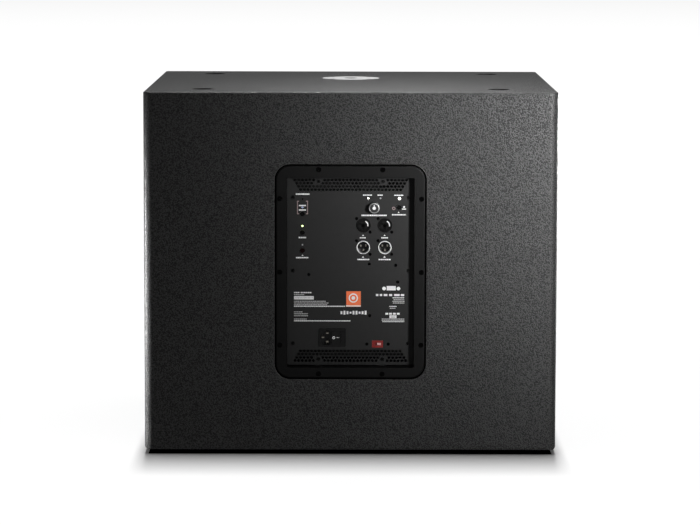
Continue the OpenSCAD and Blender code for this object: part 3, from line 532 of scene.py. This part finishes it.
slot_materials = {
    "textured_paint": textured_paint(),
    "baffle_paint": textured_paint("baffle_paint", 0.008, 700, 0.3),
    "birch_ply": plywood("birch_ply"),
    "grille_steel": powder_coat("grille_steel", grey(0.012), 0.42),
    "acoustic_foam": open_foam("acoustic_foam"),
    "light_bar": clear_plastic("light_bar", (0.82, 0.86, 0.9)),
    "black_plastic": moulded_plastic("black_plastic", grey(0.010)),
    "socket_plastic": moulded_plastic("socket_plastic", grey(0.003), 0.2, 2200, 0.04, 0.45),
    "zinc": turned_zinc("zinc"),
    "rubber": rubber("rubber"),
    "black_screws": metal("black_screws", grey(0.008), 0.2),
    "bright_screws": metal("bright_screws", grey(0.015), 0.3),
    "basket_metal": powder_coat("basket_metal", grey(0.015), 0.5, 600, 0.15),
    "steel": metal("steel", grey(0.55), 0.3, (1, 8, 1)),
    "ferrite": powder_coat("ferrite", grey(0.03), 0.6, 500, 0.1),
    "copper": enamelled_wire("copper", (0.75, 0.35, 0.16)),
    "cone_pulp": pressed_pulp("cone_pulp"),
    "surround_cloth": weave("surround_cloth", grey(0.006), grey(0.02), 0.9),
    "spider_cloth": weave("spider_cloth", (0.35, 0.2, 0.04), (0.75, 0.5, 0.15), 0.8),
    "amp_paint": powder_coat("amp_paint", grey(0.0040), 0.45, 1100, 0.05, 0.12),
    "sheet_steel": powder_coat("sheet_steel", grey(0.004), 0.6, 800, 0.05, 0.15),
    "aluminium": metal("aluminium", grey(0.012), 0.45, (1, 1, 0.03), 1500),
    "circuit_board": solder_mask("circuit_board"),
    "ferrite_core": moulded_plastic("ferrite_core", (0.55, 0.42, 0.06), 0.4, 600, 0.1),
    "chrome": metal("chrome", grey(0.95), 0.38, (1, 1, 1), 1500, 0.01),
    "fuse_glass": clear_plastic("fuse_glass", (0.8, 0.86, 0.85), 0.12),
    "selector_red": moulded_plastic("selector_red", (0.25, 0.010, 0.008), 0.35),
    "lens": clear_plastic("lens", (0.7, 0.72, 0.76)),
    "cable_jacket": moulded_plastic("cable_jacket", (0.35, 0.02, 0.015), 0.45),
}
plate_paint = powder_coat("plate_paint", grey(0.0115), 0.5, 900, 0.1, 0.27)
bead_paint = powder_coat("bead_paint", grey(0.030), 0.3, 1500, 0.02, 0.6)
cup_plastic = moulded_plastic("cup_plastic", grey(0.006), 0.6, 2200, 0.04, 0.08)
# Near-black foam for the gasket strip, which also stands in for the shade in the gap round the amplifier's frame.
gasket_shade_foam = moulded_plastic("gasket_shade_foam", grey(0.0008), 0.9, 1400, 0.04, 0.02)
button_black = moulded_plastic("button_black", grey(0.0015), 0.3, 2200, 0.02, 0.1)
button_red = moulded_plastic("button_red", (0.006, 0.0008, 0.0008), 0.3, 2200, 0.02, 0.1)
contact_metal = metal("contact_metal", (0.4, 0.37, 0.32), 0.35)
# CAD nodes that look different from the rest of their slot.
own_finishes = {
    "amp_plate": plate_paint,
    "stacking_cups": cup_plastic,
    "light_button": button_black,
    "link_button": button_black,
    "equaliser_button": button_black,
    "polarity_button": button_red,
    "inlet_pins": contact_metal,
    "thru_pins": contact_metal,
}


def dress_nodes():
    """Every CAD node takes the finish of its slot, or one of its own."""
    for part in frame["record"]["subparts"]:
        mesh = nodes[part["node"]].data
        mesh.materials.clear()
        mesh.materials.append(slot_materials[part["material_slot"]])
    for name, finish in own_finishes.items():
        nodes[name].data.materials[0] = finish


def soften(name, width_mm):
    """Rounds a CAD node's sharp edges where it is drawn; the mesh itself stays as packed."""
    node = nodes[name]
    weld = node.modifiers.new("weld", "WELD")
    weld.merge_threshold = 0.01 * MM
    bevel = node.modifiers.new("soft_edges", "BEVEL")
    bevel.width = width_mm * MM
    bevel.segments = 2
    bevel.limit_method = "ANGLE"
    bevel.angle_limit = math.radians(40)
    bevel.use_clamp_overlap = True


# ---------- Mesh helpers ----------

def finished(name, mesh_builder, materials, body="cabinet", smooth_angle=None):
    """Turns a bmesh into a piece that rides on a body, or on none yet."""
    bmesh.ops.recalc_face_normals(mesh_builder, faces=mesh_builder.faces)
    mesh = bpy.data.meshes.new(name)
    mesh_builder.to_mesh(mesh)
    mesh_builder.free()
    for made in materials:
        mesh.materials.append(made)
    piece = bpy.data.objects.new(name, mesh)
    scene.collection.objects.link(piece)
    if smooth_angle is not None:
        mesh.shade_smooth()
        mesh.set_sharp_from_angle(angle=math.radians(smooth_angle))
    if body:
        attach(piece, body)
    return piece


def prism(builder, surface, outline, low, high, material_index=0):
    """A flat shape with straight sides, between two heights above a surface."""
    lower = [builder.verts.new(surface.point(u, v, low)) for u, v in outline]
    upper = [builder.verts.new(surface.point(u, v, high)) for u, v in outline]
    count = len(outline)
    faces = [builder.faces.new(upper), builder.faces.new(lower[::-1])]
    for i in range(count):
        j = (i + 1) % count
        faces.append(builder.faces.new((lower[i], lower[j], upper[j], upper[i])))
    for face in faces:
        face.material_index = material_index


def rectangle(u, v, width, height):
    return [(u - width / 2, v - height / 2), (u + width / 2, v - height / 2),
            (u + width / 2, v + height / 2), (u - width / 2, v + height / 2)]


def triangle(u, v, width, height):
    """Pointing up."""
    return [(u - width / 2, v - height / 2), (u + width / 2, v - height / 2), (u, v + height / 2)]


def arc_points(u, v, radius, angles):
    return [(u + radius * math.cos(a), v + radius * math.sin(a)) for a in angles]


def disc(u, v, radius, steps=24):
    turn = 2 * math.pi / steps
    return arc_points(u, v, radius, [turn * i for i in range(steps)])


def arc_band(u, v, radius, width, start, end, steps=24):
    """A closed outline of part of a ring, from one angle to another in degrees."""
    angles = [math.radians(start + (end - start) * i / steps) for i in range(steps + 1)]
    outer = arc_points(u, v, radius + width / 2, angles)
    inner = arc_points(u, v, radius - width / 2, angles)
    return outer + inner[::-1]


def ring(builder, surface, u, v, radius, width, low, high, material_index=0):
    """A whole ring, as two half bands."""
    for start in (0, 180):
        half = arc_band(u, v, radius, width, start, start + 180)
        prism(builder, surface, half, low, high, material_index)


def lathe(builder, profile, centre, axis, side, segments, closed=False, radius_at=None, material_index=0):
    """Turns a profile of (radius, height) pairs, in millimetres, round an axis through centre."""
    other = axis.cross(side)
    rings = []
    for radius, height in profile:
        if radius == 0:
            rings.append([builder.verts.new(centre + axis * height * MM)])
            continue
        verts = []
        for i in range(segments):
            a = 2 * math.pi * i / segments
            r = radius_at(radius, height, a) if radius_at else radius
            offset = side * math.cos(a) * r + other * math.sin(a) * r + axis * height
            verts.append(builder.verts.new(centre + offset * MM))
        rings.append(verts)
    pairs = list(zip(rings, rings[1:]))
    if closed:
        pairs.append((rings[-1], rings[0]))
    for near, far in pairs:
        for i in range(segments):
            j = (i + 1) % segments
            if len(near) == 1:
                corners = (near[0], far[j], far[i])
            elif len(far) == 1:
                corners = (near[i], near[j], far[0])
            else:
                corners = (near[i], near[j], far[j], far[i])
            builder.faces.new(corners).material_index = material_index


# ---------- Front: perforated grille, foam, surround and spider ----------

def make_grille():
    """Perforated steel: a honeycomb sheet inside a plain border, with a return rim behind."""
    low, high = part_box("front_grille")
    width, height = width_and_height(low, high)
    face = front_face(low, high)
    builder = bmesh.new()
    border, sheet, rim = 22, 1.5, (high.y - low.y) / MM
    inside_w, inside_h = width - 2 * border, height - 2 * border
    for sign in (-1, 1):
        prism(builder, face, rectangle(0, sign * (height - border) / 2, width, border), -sheet, 0)
        prism(builder, face, rectangle(sign * (width - border) / 2, 0, border, inside_h), -sheet, 0)
        prism(builder, face, rectangle(0, sign * (height - sheet) / 2, width, sheet), -rim, -sheet)
        return_side = rectangle(sign * (width - sheet) / 2, 0, sheet, height - 2 * sheet)
        prism(builder, face, return_side, -rim, -sheet)
    pitch, hole = 8.6, 6.8
    mesh_back, mesh_front = -1.3, -0.2
    honeycomb(builder, face, inside_w, inside_h, pitch, hole, mesh_back, mesh_front)
    piece = finished("perforated_grille", builder, [slot_materials["grille_steel"]])
    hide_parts("front_grille")


def honeycomb(builder, surface, width, height, pitch, hole, low, high):
    """A sheet of six-sided holes, whose ragged edge hides inside the border."""
    size = pitch / math.sqrt(3)
    row_step = size * 1.5
    rows = int(height / row_step) + 1
    columns = int(width / pitch) + 1
    shared = {}
    sides = {}

    def vertex(u, v, level):
        key = (round(u * 5), round(v * 5), level)
        if key not in shared:
            shared[key] = builder.verts.new(surface.point(u, v, level))
        return shared[key]

    angles = [math.radians(60 * k + 30) for k in range(6)]
    scale = hole / pitch
    for row in range(rows):
        v = (row - (rows - 1) / 2) * row_step
        for column in range(columns):
            u = (column - (columns - 1) / 2 + (0.5 if row % 2 else 0) - 0.25) * pitch
            outer = arc_points(u, v, size, angles)
            inner = arc_points(u, v, size * scale, angles)
            for k in range(6):
                j = (k + 1) % 6
                wedge = (outer[k], outer[j], inner[j], inner[k])
                top = [vertex(*corner, high) for corner in wedge]
                bottom = [vertex(*corner, low) for corner in wedge]
                builder.faces.new(top)
                builder.faces.new(bottom[::-1])
                builder.faces.new((top[3], top[2], bottom[2], bottom[3]))
                side = frozenset((top[0], top[1]))
                sides.setdefault(side, []).append((top[0], top[1], bottom[1], bottom[0]))
    # A cell's side with no neighbour is part of the sheet's outer edge, which is closed here.
    for walls in sides.values():
        if len(walls) == 1:
            builder.faces.new(walls[0])


def make_foam():
    """Open-cell foam behind the grille, very slightly uneven on its front."""
    low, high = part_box("grille_foam")
    builder = bmesh.new()
    columns, rows = 40, 34
    inset, front_gap, back_gap, unevenness = 0.5 * MM, 0.5 * MM, 0.3 * MM, 0.3 * MM
    grid = {}
    for i in range(columns + 1):
        for j in range(rows + 1):
            x = low.x + inset + (high.x - low.x - 2 * inset) * i / columns
            z = low.z + inset + (high.z - low.z - 2 * inset) * j / rows
            swell = unevenness * math.sin(i * 1.7 + j * 0.9) * math.sin(j * 1.3)
            grid[i, j, 0] = builder.verts.new((x, low.y + front_gap + swell, z))
            grid[i, j, 1] = builder.verts.new((x, high.y - back_gap, z))
    for i in range(columns):
        for j in range(rows):
            for side in (0, 1):
                builder.faces.new((grid[i, j, side], grid[i + 1, j, side],
                                   grid[i + 1, j + 1, side], grid[i, j + 1, side]))
    for i in range(columns):
        for j in (0, rows):
            builder.faces.new((grid[i, j, 0], grid[i + 1, j, 0], grid[i + 1, j, 1], grid[i, j, 1]))
    for j in range(rows):
        for i in (0, columns):
            builder.faces.new((grid[i, j, 0], grid[i, j + 1, 0], grid[i, j + 1, 1], grid[i, j, 1]))
    foam = slot_materials["acoustic_foam"]
    piece = finished("foam_backing", builder, [foam], smooth_angle=40)
    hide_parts("grille_foam")


def half_ellipse(middle, level, half_width, rise):
    """Profile points over a half ellipse, from its outer foot to its inner foot."""
    angles = [math.radians(9 * i) for i in range(21)]
    return [(middle + half_width * math.cos(a), level + rise * math.sin(a)) for a in angles]


def make_suspension():
    """The cloth surround and the spider, each fixed to the basket outside and to the cone inside."""
    low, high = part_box("surround")
    forward, side = -OUT, -ACROSS
    baffle_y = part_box("front_baffle")[0].y
    centre = Vector(((low.x + high.x) / 2, baffle_y, (low.z + high.z) / 2))
    # The land at the outer edge lies on the basket, and the lip at the inner edge lies on the cone.
    land, land_back, land_front = 215, 6, 7
    roll_middle, roll_front, roll_back = 196, 8.5, 7.6
    outer = half_ellipse(roll_middle, land_front, 11, roll_front)
    inner = half_ellipse(roll_middle, land_back, 9.8, roll_back)[::-1]
    lip = [(183, -1.2), (183, -2.2), (187.6, -2.1)]
    profile = [(land, land_back), (land, land_front), *outer, *lip, *inner]
    builder = bmesh.new()
    lathe(builder, profile, centre, forward, side, 96, closed=True)
    cloth = slot_materials["surround_cloth"]
    piece = finished("cloth_surround", builder, [cloth], None, 35)
    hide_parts("surround")
    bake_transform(piece)

    start_r, end_r, thickness, steps = 38.0, 124.0, 0.8, 40
    waves, wave_height, rise, outer_level = 6, 1.2, 7, -77.2
    front = []
    for i in range(steps + 1):
        part = i / steps
        fade = min(1, 6 * part, 6 * (1 - part))
        wave = wave_height * math.sin(2 * math.pi * part * waves) * fade
        front.append((start_r + (end_r - start_r) * part, outer_level + rise * (1 - part) + wave))
    back = [(radius, height - thickness) for radius, height in front[::-1]]
    builder = bmesh.new()
    lathe(builder, front + back, centre, forward, side, 96, closed=True)
    cloth = slot_materials["spider_cloth"]
    piece = finished("cloth_spider", builder, [cloth], None, 35)
    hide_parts("spider")
    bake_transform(piece)


# ---------- Control plate: lenses, knob and print ----------

white_ink = ink("white_ink", (0.95, 0.95, 0.95))
dim_ink = ink("dim_ink", grey(0.55))
pink_ink = ink("pink_ink", (0.34, 0.25, 0.25))
black_ink = ink("black_ink", grey(0.02))
orange_ink = ink("orange_ink", (1.0, 0.20, 0.06))
rose_ink = ink("rose_ink", (0.95, 0.55, 0.55))
blue_ink = ink("blue_ink", (0.55, 0.68, 1.0))
lens_finishes = [
    glowing("lit_white", (1.0, 0.98, 0.92), 3.5),
    glowing("lit_green", (0.80, 0.95, 0.40), 3.0),
    clear_plastic("unlit_dark", (0.004, 0.003, 0.003)),
    clear_plastic("unlit_white", (0.45, 0.45, 0.47)),
]
LIT_WHITE, LIT_GREEN, UNLIT_DARK, UNLIT_WHITE = range(4)

# Print starts just inside its surface, and stands a little higher on the plate than on a switch.
PRINT_LOW, PRINT_HIGH = -0.02, 0.07
SWITCH_PRINT_HIGH = 0.06
# The middle of the column of controls at the left of the plate.
LEFT_COLUMN = -77.9

LENSES = [
    # across, up, radius, finish
    (28.5, 118.0, 1.4, LIT_WHITE), (48.3, 118.0, 1.4, UNLIT_WHITE), (78.9, 117.7, 2.2, LIT_WHITE),
    (LEFT_COLUMN, 116.4, 1.4, UNLIT_DARK), (LEFT_COLUMN, 72.8, 1.4, LIT_GREEN),
    (LEFT_COLUMN, 42.2, 1.4, UNLIT_WHITE),
]


def make_lenses():
    """Domed light pipes in the control plate."""
    builder = bmesh.new()
    inside = (plate_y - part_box("indicator_lenses")[0].y) / MM
    collar = 0.3
    angles = [math.radians(a) for a in range(0, 90, 15)]
    for u, v, radius, finish in LENSES:
        rise = radius * 0.55
        dome = [(radius * math.cos(a), collar + rise * math.sin(a)) for a in angles]
        profile = [(0, -inside), (radius, -inside), *dome, (0, collar + rise)]
        lathe(builder, profile, control_plate.point(u, v), OUT, ACROSS, 24, material_index=finish)
    piece = finished("lens_domes", builder, lens_finishes, smooth_angle=40)
    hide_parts("indicator_lenses")


def make_knob():
    """A ribbed knob with a silver ring round its face and a white pointer."""
    low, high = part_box("volume_knob")
    centre = Vector(((low.x + high.x) / 2, low.y, (low.z + high.z) / 2))
    radius = (high.x - low.x) / 2 / MM
    height = (high.y - low.y) / MM
    knob_face = Surface(centre + OUT * height * MM, ACROSS, UP, OUT)
    ribs, groove = 30, 0.28

    def ribbed(r, h, a):
        """The radius at an angle: the grooves run up the skirt and stop below its rounded edge."""
        grooved = 0.8 < h < height - 2.2 and r > radius - 2
        return r - (groove * (1 - abs(math.cos(a * ribs / 2)) ** 0.7) if grooved else 0)

    skirt = [(0, 0), (radius, 0), (radius, 0.9), (radius - 0.5, 1.0), (radius - 0.6, 4),
             (radius - 0.9, height - 2.3), (radius - 1.0, height - 1.6), (radius - 1.5, height - 0.7),
             (radius - 3.2, height - 0.5), (0, height - 0.5)]
    builder = bmesh.new()
    lathe(builder, skirt, centre, OUT, ACROSS, 120, radius_at=ribbed)
    plastic = slot_materials["black_plastic"]
    piece = finished("knob_body", builder, [plastic], "volume_control", 35)
    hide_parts("volume_knob")

    builder = bmesh.new()
    ring_profile = [(radius - 0.85, -1.7), (radius - 0.9, -0.85), (radius - 1.25, -0.3),
                    (radius - 2.0, -0.1), (radius - 2.5, -0.35), (radius - 2.5, -1.7)]
    lathe(builder, ring_profile, knob_face.origin, OUT, ACROSS, 96, closed=True)
    silver = metal("knob_ring_metal", grey(0.55), 0.42)
    finished("knob_ring", builder, [silver], "volume_control", 40)

    builder = bmesh.new()
    pointer_low = -0.7
    prism(builder, knob_face, rectangle(0, 2.6, 1.5, 5.2), pointer_low, -0.05)
    prism(builder, knob_face, disc(0, 0, 2.7), pointer_low, -0.12)
    finished("knob_pointer", builder, [white_ink], "volume_control")


def print_shape(builder, outline):
    """One shape of ink on the control plate."""
    prism(builder, control_plate, outline, PRINT_LOW, PRINT_HIGH)


def words(builder, start, end, v, height, chance, gap=0.5):
    """A row of plain dashes where a line of small print would be."""
    shortest = 0.6
    u = start
    while u < end - shortest:
        length = min(chance.uniform(1.3, 3.4), end - u)
        print_shape(builder, rectangle(u + length / 2, v, length, height))
        u += length + gap * chance.uniform(0.8, 1.4)


# Lines of print: start and end across, height above the middle of the plate, and size.
LABEL_LINES = [
    (20.0, 34.4, 123.2, 1.7), (43.4, 52.6, 123.2, 1.7), (70.4, 85.8, 123.0, 1.8),
    (17.6, 58.3, 90.2, 2.3), (66.9, 89.6, 91.3, 2.0),
    (15.0, 25.4, 53.8, 1.9), (49.8, 60.5, 53.8, 1.9), (11.2, 30.4, 18.4, 1.9), (45.5, 65.2, 18.4, 1.9),
    (-88.7, -66.2, 124.6, 2.4), (-84.1, -72.0, 53.9, 2.4), (-88.4, -67.4, 21.2, 2.0),
    (-91.5, -82.7, -35.9, 1.9), (-80.8, -63.1, -35.9, 1.9),
    (-91.5, -8.2, -58.2, 1.7), (-91.5, 0.8, -82.1, 1.7),
    (52.0, 87.5, -83.1, 1.3), (68.3, 87.7, -44.1, 1.3), (62.9, 75.0, -58.2, 1.4),
]
# Lines of small print: start and end across, and height above the middle of the plate.
SMALL_LINES = [
    (-91.5, -74.5, -39.3),
    (-91.5, -40.1, -50.1), (-91.5, -35.4, -52.9), (-91.5, -37.8, -55.6),
    (-91.5, -77.5, -67.5), (-91.5, -69.0, -70.6), (-91.5, -69.0, -73.8), (-91.5, -71.0, -79.2),
    (70.0, 87.7, -47.2), (68.3, 87.7, -49.9), (69.0, 87.7, -52.6), (64.0, 73.5, -61.2),
    (51.0, 87.7, -78.8), (51.0, 87.7, -81.0),
]


def make_labels():
    """The bright print: labels, pointers, bars and blocks."""
    builder = bmesh.new()
    chance = random.Random(5)
    for start, end, v, size in LABEL_LINES:
        words(builder, start, end, v, size, chance, gap=0.3)
    # Pointers between each socket and its label.
    for u in (20.3, 55.1):
        print_shape(builder, triangle(u, 58.0, 3.6, 2.0))
        print_shape(builder, triangle(u, 22.8, 3.8, 2.4))
    print_shape(builder, triangle(77.6, 95.4, 2.6, 2.2))
    print_shape(builder, triangle(37.6, 94.7, 2.6, 2.0))
    print_shape(builder, triangle(LEFT_COLUMN, 25.2, 3.2, 2.0))
    # Lamp state on the right of the light button: a dot over a bar.
    print_shape(builder, disc(86.4, 104.0, 1.6))
    print_shape(builder, rectangle(86.4, 100.6, 6.6, 1.6))
    # Bars above and below the wireless mark.
    for v in (106.0, 98.8):
        print_shape(builder, rectangle(LEFT_COLUMN, v, 11.6, 2.1))
    # A row of bars like a level meter, below the badge.
    for i in range(9):
        tall = 2.6 + 3.8 * abs(math.sin(0.9 * i + 0.6))
        print_shape(builder, rectangle(-14.5 + 4.9 * i, -68.6, 3.1, tall))
    # Plain blocks and discs at the right.
    print_shape(builder, rectangle(66.2, -28.4, 14.8, 7.2))
    for u in (54.6, 77.8):
        print_shape(builder, disc(u, -29.0, 3.0))
    for u, width in ((43.4, 4.0), (49.6, 4.0), (57.0, 6.0), (65.2, 5.0), (75.4, 9.0), (84.4, 5.6)):
        print_shape(builder, rectangle(u, -39.6, width, 3.4))
    for u in (59.2, 65.2, 71.4, 77.6):
        print_shape(builder, rectangle(u, -70.2, 4.6, 3.0))
    finished("panel_labels", builder, [white_ink])


def make_small_print():
    """The faint print: rows of small dashes, brackets and a ring."""
    builder = bmesh.new()
    chance = random.Random(11)
    size = 1.5
    for start, end, v in SMALL_LINES:
        words(builder, start, end, v, size, chance)
    finished("panel_small_print", builder, [dim_ink])

    # Brackets round the wireless link's light and button, and the ring for lamp off.
    builder = bmesh.new()
    for side in (-1, 1):
        u = -77.8 + side * 8.2
        print_shape(builder, rectangle(u, 102.8, 1.3, 19.0))
        for v in (113.0, 92.6):
            print_shape(builder, rectangle(u - side * 1.0, v, 3.4, 1.4))
    ring(builder, control_plate, 69.8, 101.6, 2.0, 1.3, PRINT_LOW, PRINT_HIGH)
    finished("panel_brackets", builder, [pink_ink])


def make_stickers():
    """Paper labels and the orange badge, with neutral marks."""
    paper, paper_print = 0.1, 0.13
    wide_u, wide_v, narrow_u, narrow_v = -75.5, -44.4, 69.2, -75.1
    builder = bmesh.new()
    prism(builder, control_plate, rectangle(wide_u, wide_v, 32.0, 5.6), PRINT_LOW, paper, 0)
    prism(builder, control_plate, rectangle(narrow_u, narrow_v, 11.4, 4.8), PRINT_LOW, paper, 0)
    for i in range(14):
        stripe = rectangle(-89.0 + 2.1 * i, wide_v, 0.3 + 0.15 * (i % 3), 2.0)
        prism(builder, control_plate, stripe, paper, paper_print, 1)
    for v in (narrow_v + 1, narrow_v - 1):
        prism(builder, control_plate, rectangle(narrow_u, v, 8.0, 0.5), paper, paper_print, 1)
    finished("paper_labels", builder, [white_ink, black_ink])

    badge, badge_print = 0.12, 0.17
    middle_u, middle_v = 4.7, -46.2
    ring_v, bar_v = middle_v + 1.6, middle_v - 11.4
    builder = bmesh.new()
    prism(builder, control_plate, rectangle(middle_u + 0.4, middle_v, 23.6, 25.4), PRINT_LOW, badge, 0)
    ring(builder, control_plate, middle_u, ring_v, 6.6, 2.0, badge, badge_print, 1)
    prism(builder, control_plate, disc(middle_u, ring_v, 3.0), badge, badge_print, 1)
    prism(builder, control_plate, rectangle(middle_u, bar_v, 24.0, 1.9), badge, badge_print, 1)
    finished("square_badge", builder, [orange_ink, white_ink])


def make_selector_marks():
    """Two pale blocks on the voltage selector's slide, where the chosen voltage would be printed."""
    low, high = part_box("selector_slide")
    face = rear_face(low, high)
    builder = bmesh.new()
    for u in (-1.6, 1.6):
        prism(builder, face, rectangle(u, 0, 2.5, 3.4), PRINT_LOW, SWITCH_PRINT_HIGH)
    finished("selector_marks", builder, [rose_ink], "voltage_slider")


def make_frame_gasket():
    """A black foam strip in the gap round the amplifier's frame, dark enough to stand as painted shade in the gap,
    and a bead of paint along the gap.
    """
    low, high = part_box("amp_frame")
    width, height = width_and_height(low, high)
    middle = rear_face(low, high)
    radius, gap = 23, 2.0
    inner, foot, thickness = 0.1, -2.95, 1.6
    strip = [(inner, foot), (gap, foot), (gap, foot + thickness), (inner, foot + thickness)]
    builder = bmesh.new()
    sweep_round_frame(builder, middle, width, height, radius, strip)
    # Painted shade: the near-black strip darkens the gap as shade would.
    finished("frame_gasket", builder, [gasket_shade_foam])

    # The bead is round, and its top stays just below the face of the rear panel.
    bead_r, bead_out, below_face = 0.7, gap + 1.0, 0.02
    bead_level = (rear_y - high.y) / MM - bead_r - below_face
    bead = arc_points(bead_out, bead_level, bead_r, [math.radians(30 * k) for k in range(12)])
    builder = bmesh.new()
    sweep_round_frame(builder, middle, width, height, radius, bead)
    finished("rebate_bead", builder, [bead_paint], smooth_angle=50)


def sweep_round_frame(builder, surface, width, height, radius, profile):
    """Carries a profile, given as distances out and up, round a rectangle with rounded corners."""
    loops = []
    for out, level in profile:
        outline = rounded_outline(width + 2 * out, height + 2 * out, radius + out)
        loops.append([builder.verts.new(surface.point(u, v, level)) for u, v in outline])
    for near, far in zip(loops, loops[1:] + loops[:1]):
        for i in range(len(near)):
            j = (i + 1) % len(near)
            builder.faces.new((near[i], near[j], far[j], far[i]))


def rounded_outline(width, height, radius, steps=10):
    """A rectangle with rounded corners, counter-clockwise from the right."""
    outline = []
    for corner, (side, up) in enumerate(((1, 1), (-1, 1), (-1, -1), (1, -1))):
        centre_u, centre_v = side * (width / 2 - radius), up * (height / 2 - radius)
        angles = [math.radians(90 * corner + 90 * i / steps) for i in range(steps + 1)]
        outline.extend(arc_points(centre_u, centre_v, radius, angles))
    return outline


def make_wireless_mark():
    """Three arcs, one above another, in pale blue."""
    builder = bmesh.new()
    for radius in (0.9, 1.9, 2.9):
        print_shape(builder, arc_band(LEFT_COLUMN, 101.0, radius, 0.7, 40, 140, 10))
    finished("wireless_mark", builder, [blue_ink])


def make_socket_contacts():
    """A polished earth contact curved round part of each input socket's face."""
    face_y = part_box("combo_sockets")[1].y
    face = Surface(Vector((0, face_y, middle_z)), ACROSS, UP, OUT)
    input_row, radius, width = 74, 7.4, 1.8
    builder = bmesh.new()
    for u in (20.7, 55.6):
        prism(builder, face, arc_band(u, input_row, radius, width, -10, 65, 16), -0.02, 0.3)
    finished("socket_contacts", builder, [slot_materials["chrome"]])


def make_rocker_marks():
    """A ring on the raised side of the mains rocker and a bar on the pressed side."""
    pivots = [Vector(joint["pos_m"]) for joint in frame["joints"] if joint["child"] == "power_switch"]
    # The face is a shallow V: half its width, and how far its edges and its middle stand out from the pivot.
    half, edge, dip = 7.3, 3.0, 1.4
    slope = math.atan2(edge - dip, half)
    at_rest = Matrix.Rotation(math.radians(12), 3, "Z")
    builder = bmesh.new()
    for side in (1, -1):
        # One half of the face: the direction out along it, the one square to it, and its middle.
        along = at_rest @ Vector((side * math.cos(slope), math.sin(slope), 0))
        normal = at_rest @ Vector((-side * math.sin(slope), math.cos(slope), 0))
        middle = at_rest @ Vector((side * half / 2, (edge + dip) / 2, 0))
        face = Surface(pivots[0] + middle * MM, along * -side, UP, normal)
        if side == 1:
            ring(builder, face, 0, 0, 1.9, 1.1, PRINT_LOW, SWITCH_PRINT_HIGH)
        else:
            prism(builder, face, rectangle(0, 0, 4.0, 0.8), PRINT_LOW, SWITCH_PRINT_HIGH)
    finished("rocker_marks", builder, [white_ink], "power_switch")


# ---------- Build ----------

make_camera()
make_lights()
make_world()
make_floor()
make_shadow_card()
dress_nodes()
for softened in ("handle_left", "handle_right"):
    soften(softened, 1.0)
for softened in ("light_button", "link_button", "equaliser_button", "polarity_button"):
    soften(softened, 0.5)
make_grille()
make_foam()
make_suspension()
make_lenses()
make_knob()
make_labels()
make_small_print()
make_stickers()
make_wireless_mark()
make_socket_contacts()
make_rocker_marks()
make_selector_marks()
make_frame_gasket()

keep_lamps_off_floor(("key_wide", "key_middle", "key_fill", "rim_left", "front_fill"))
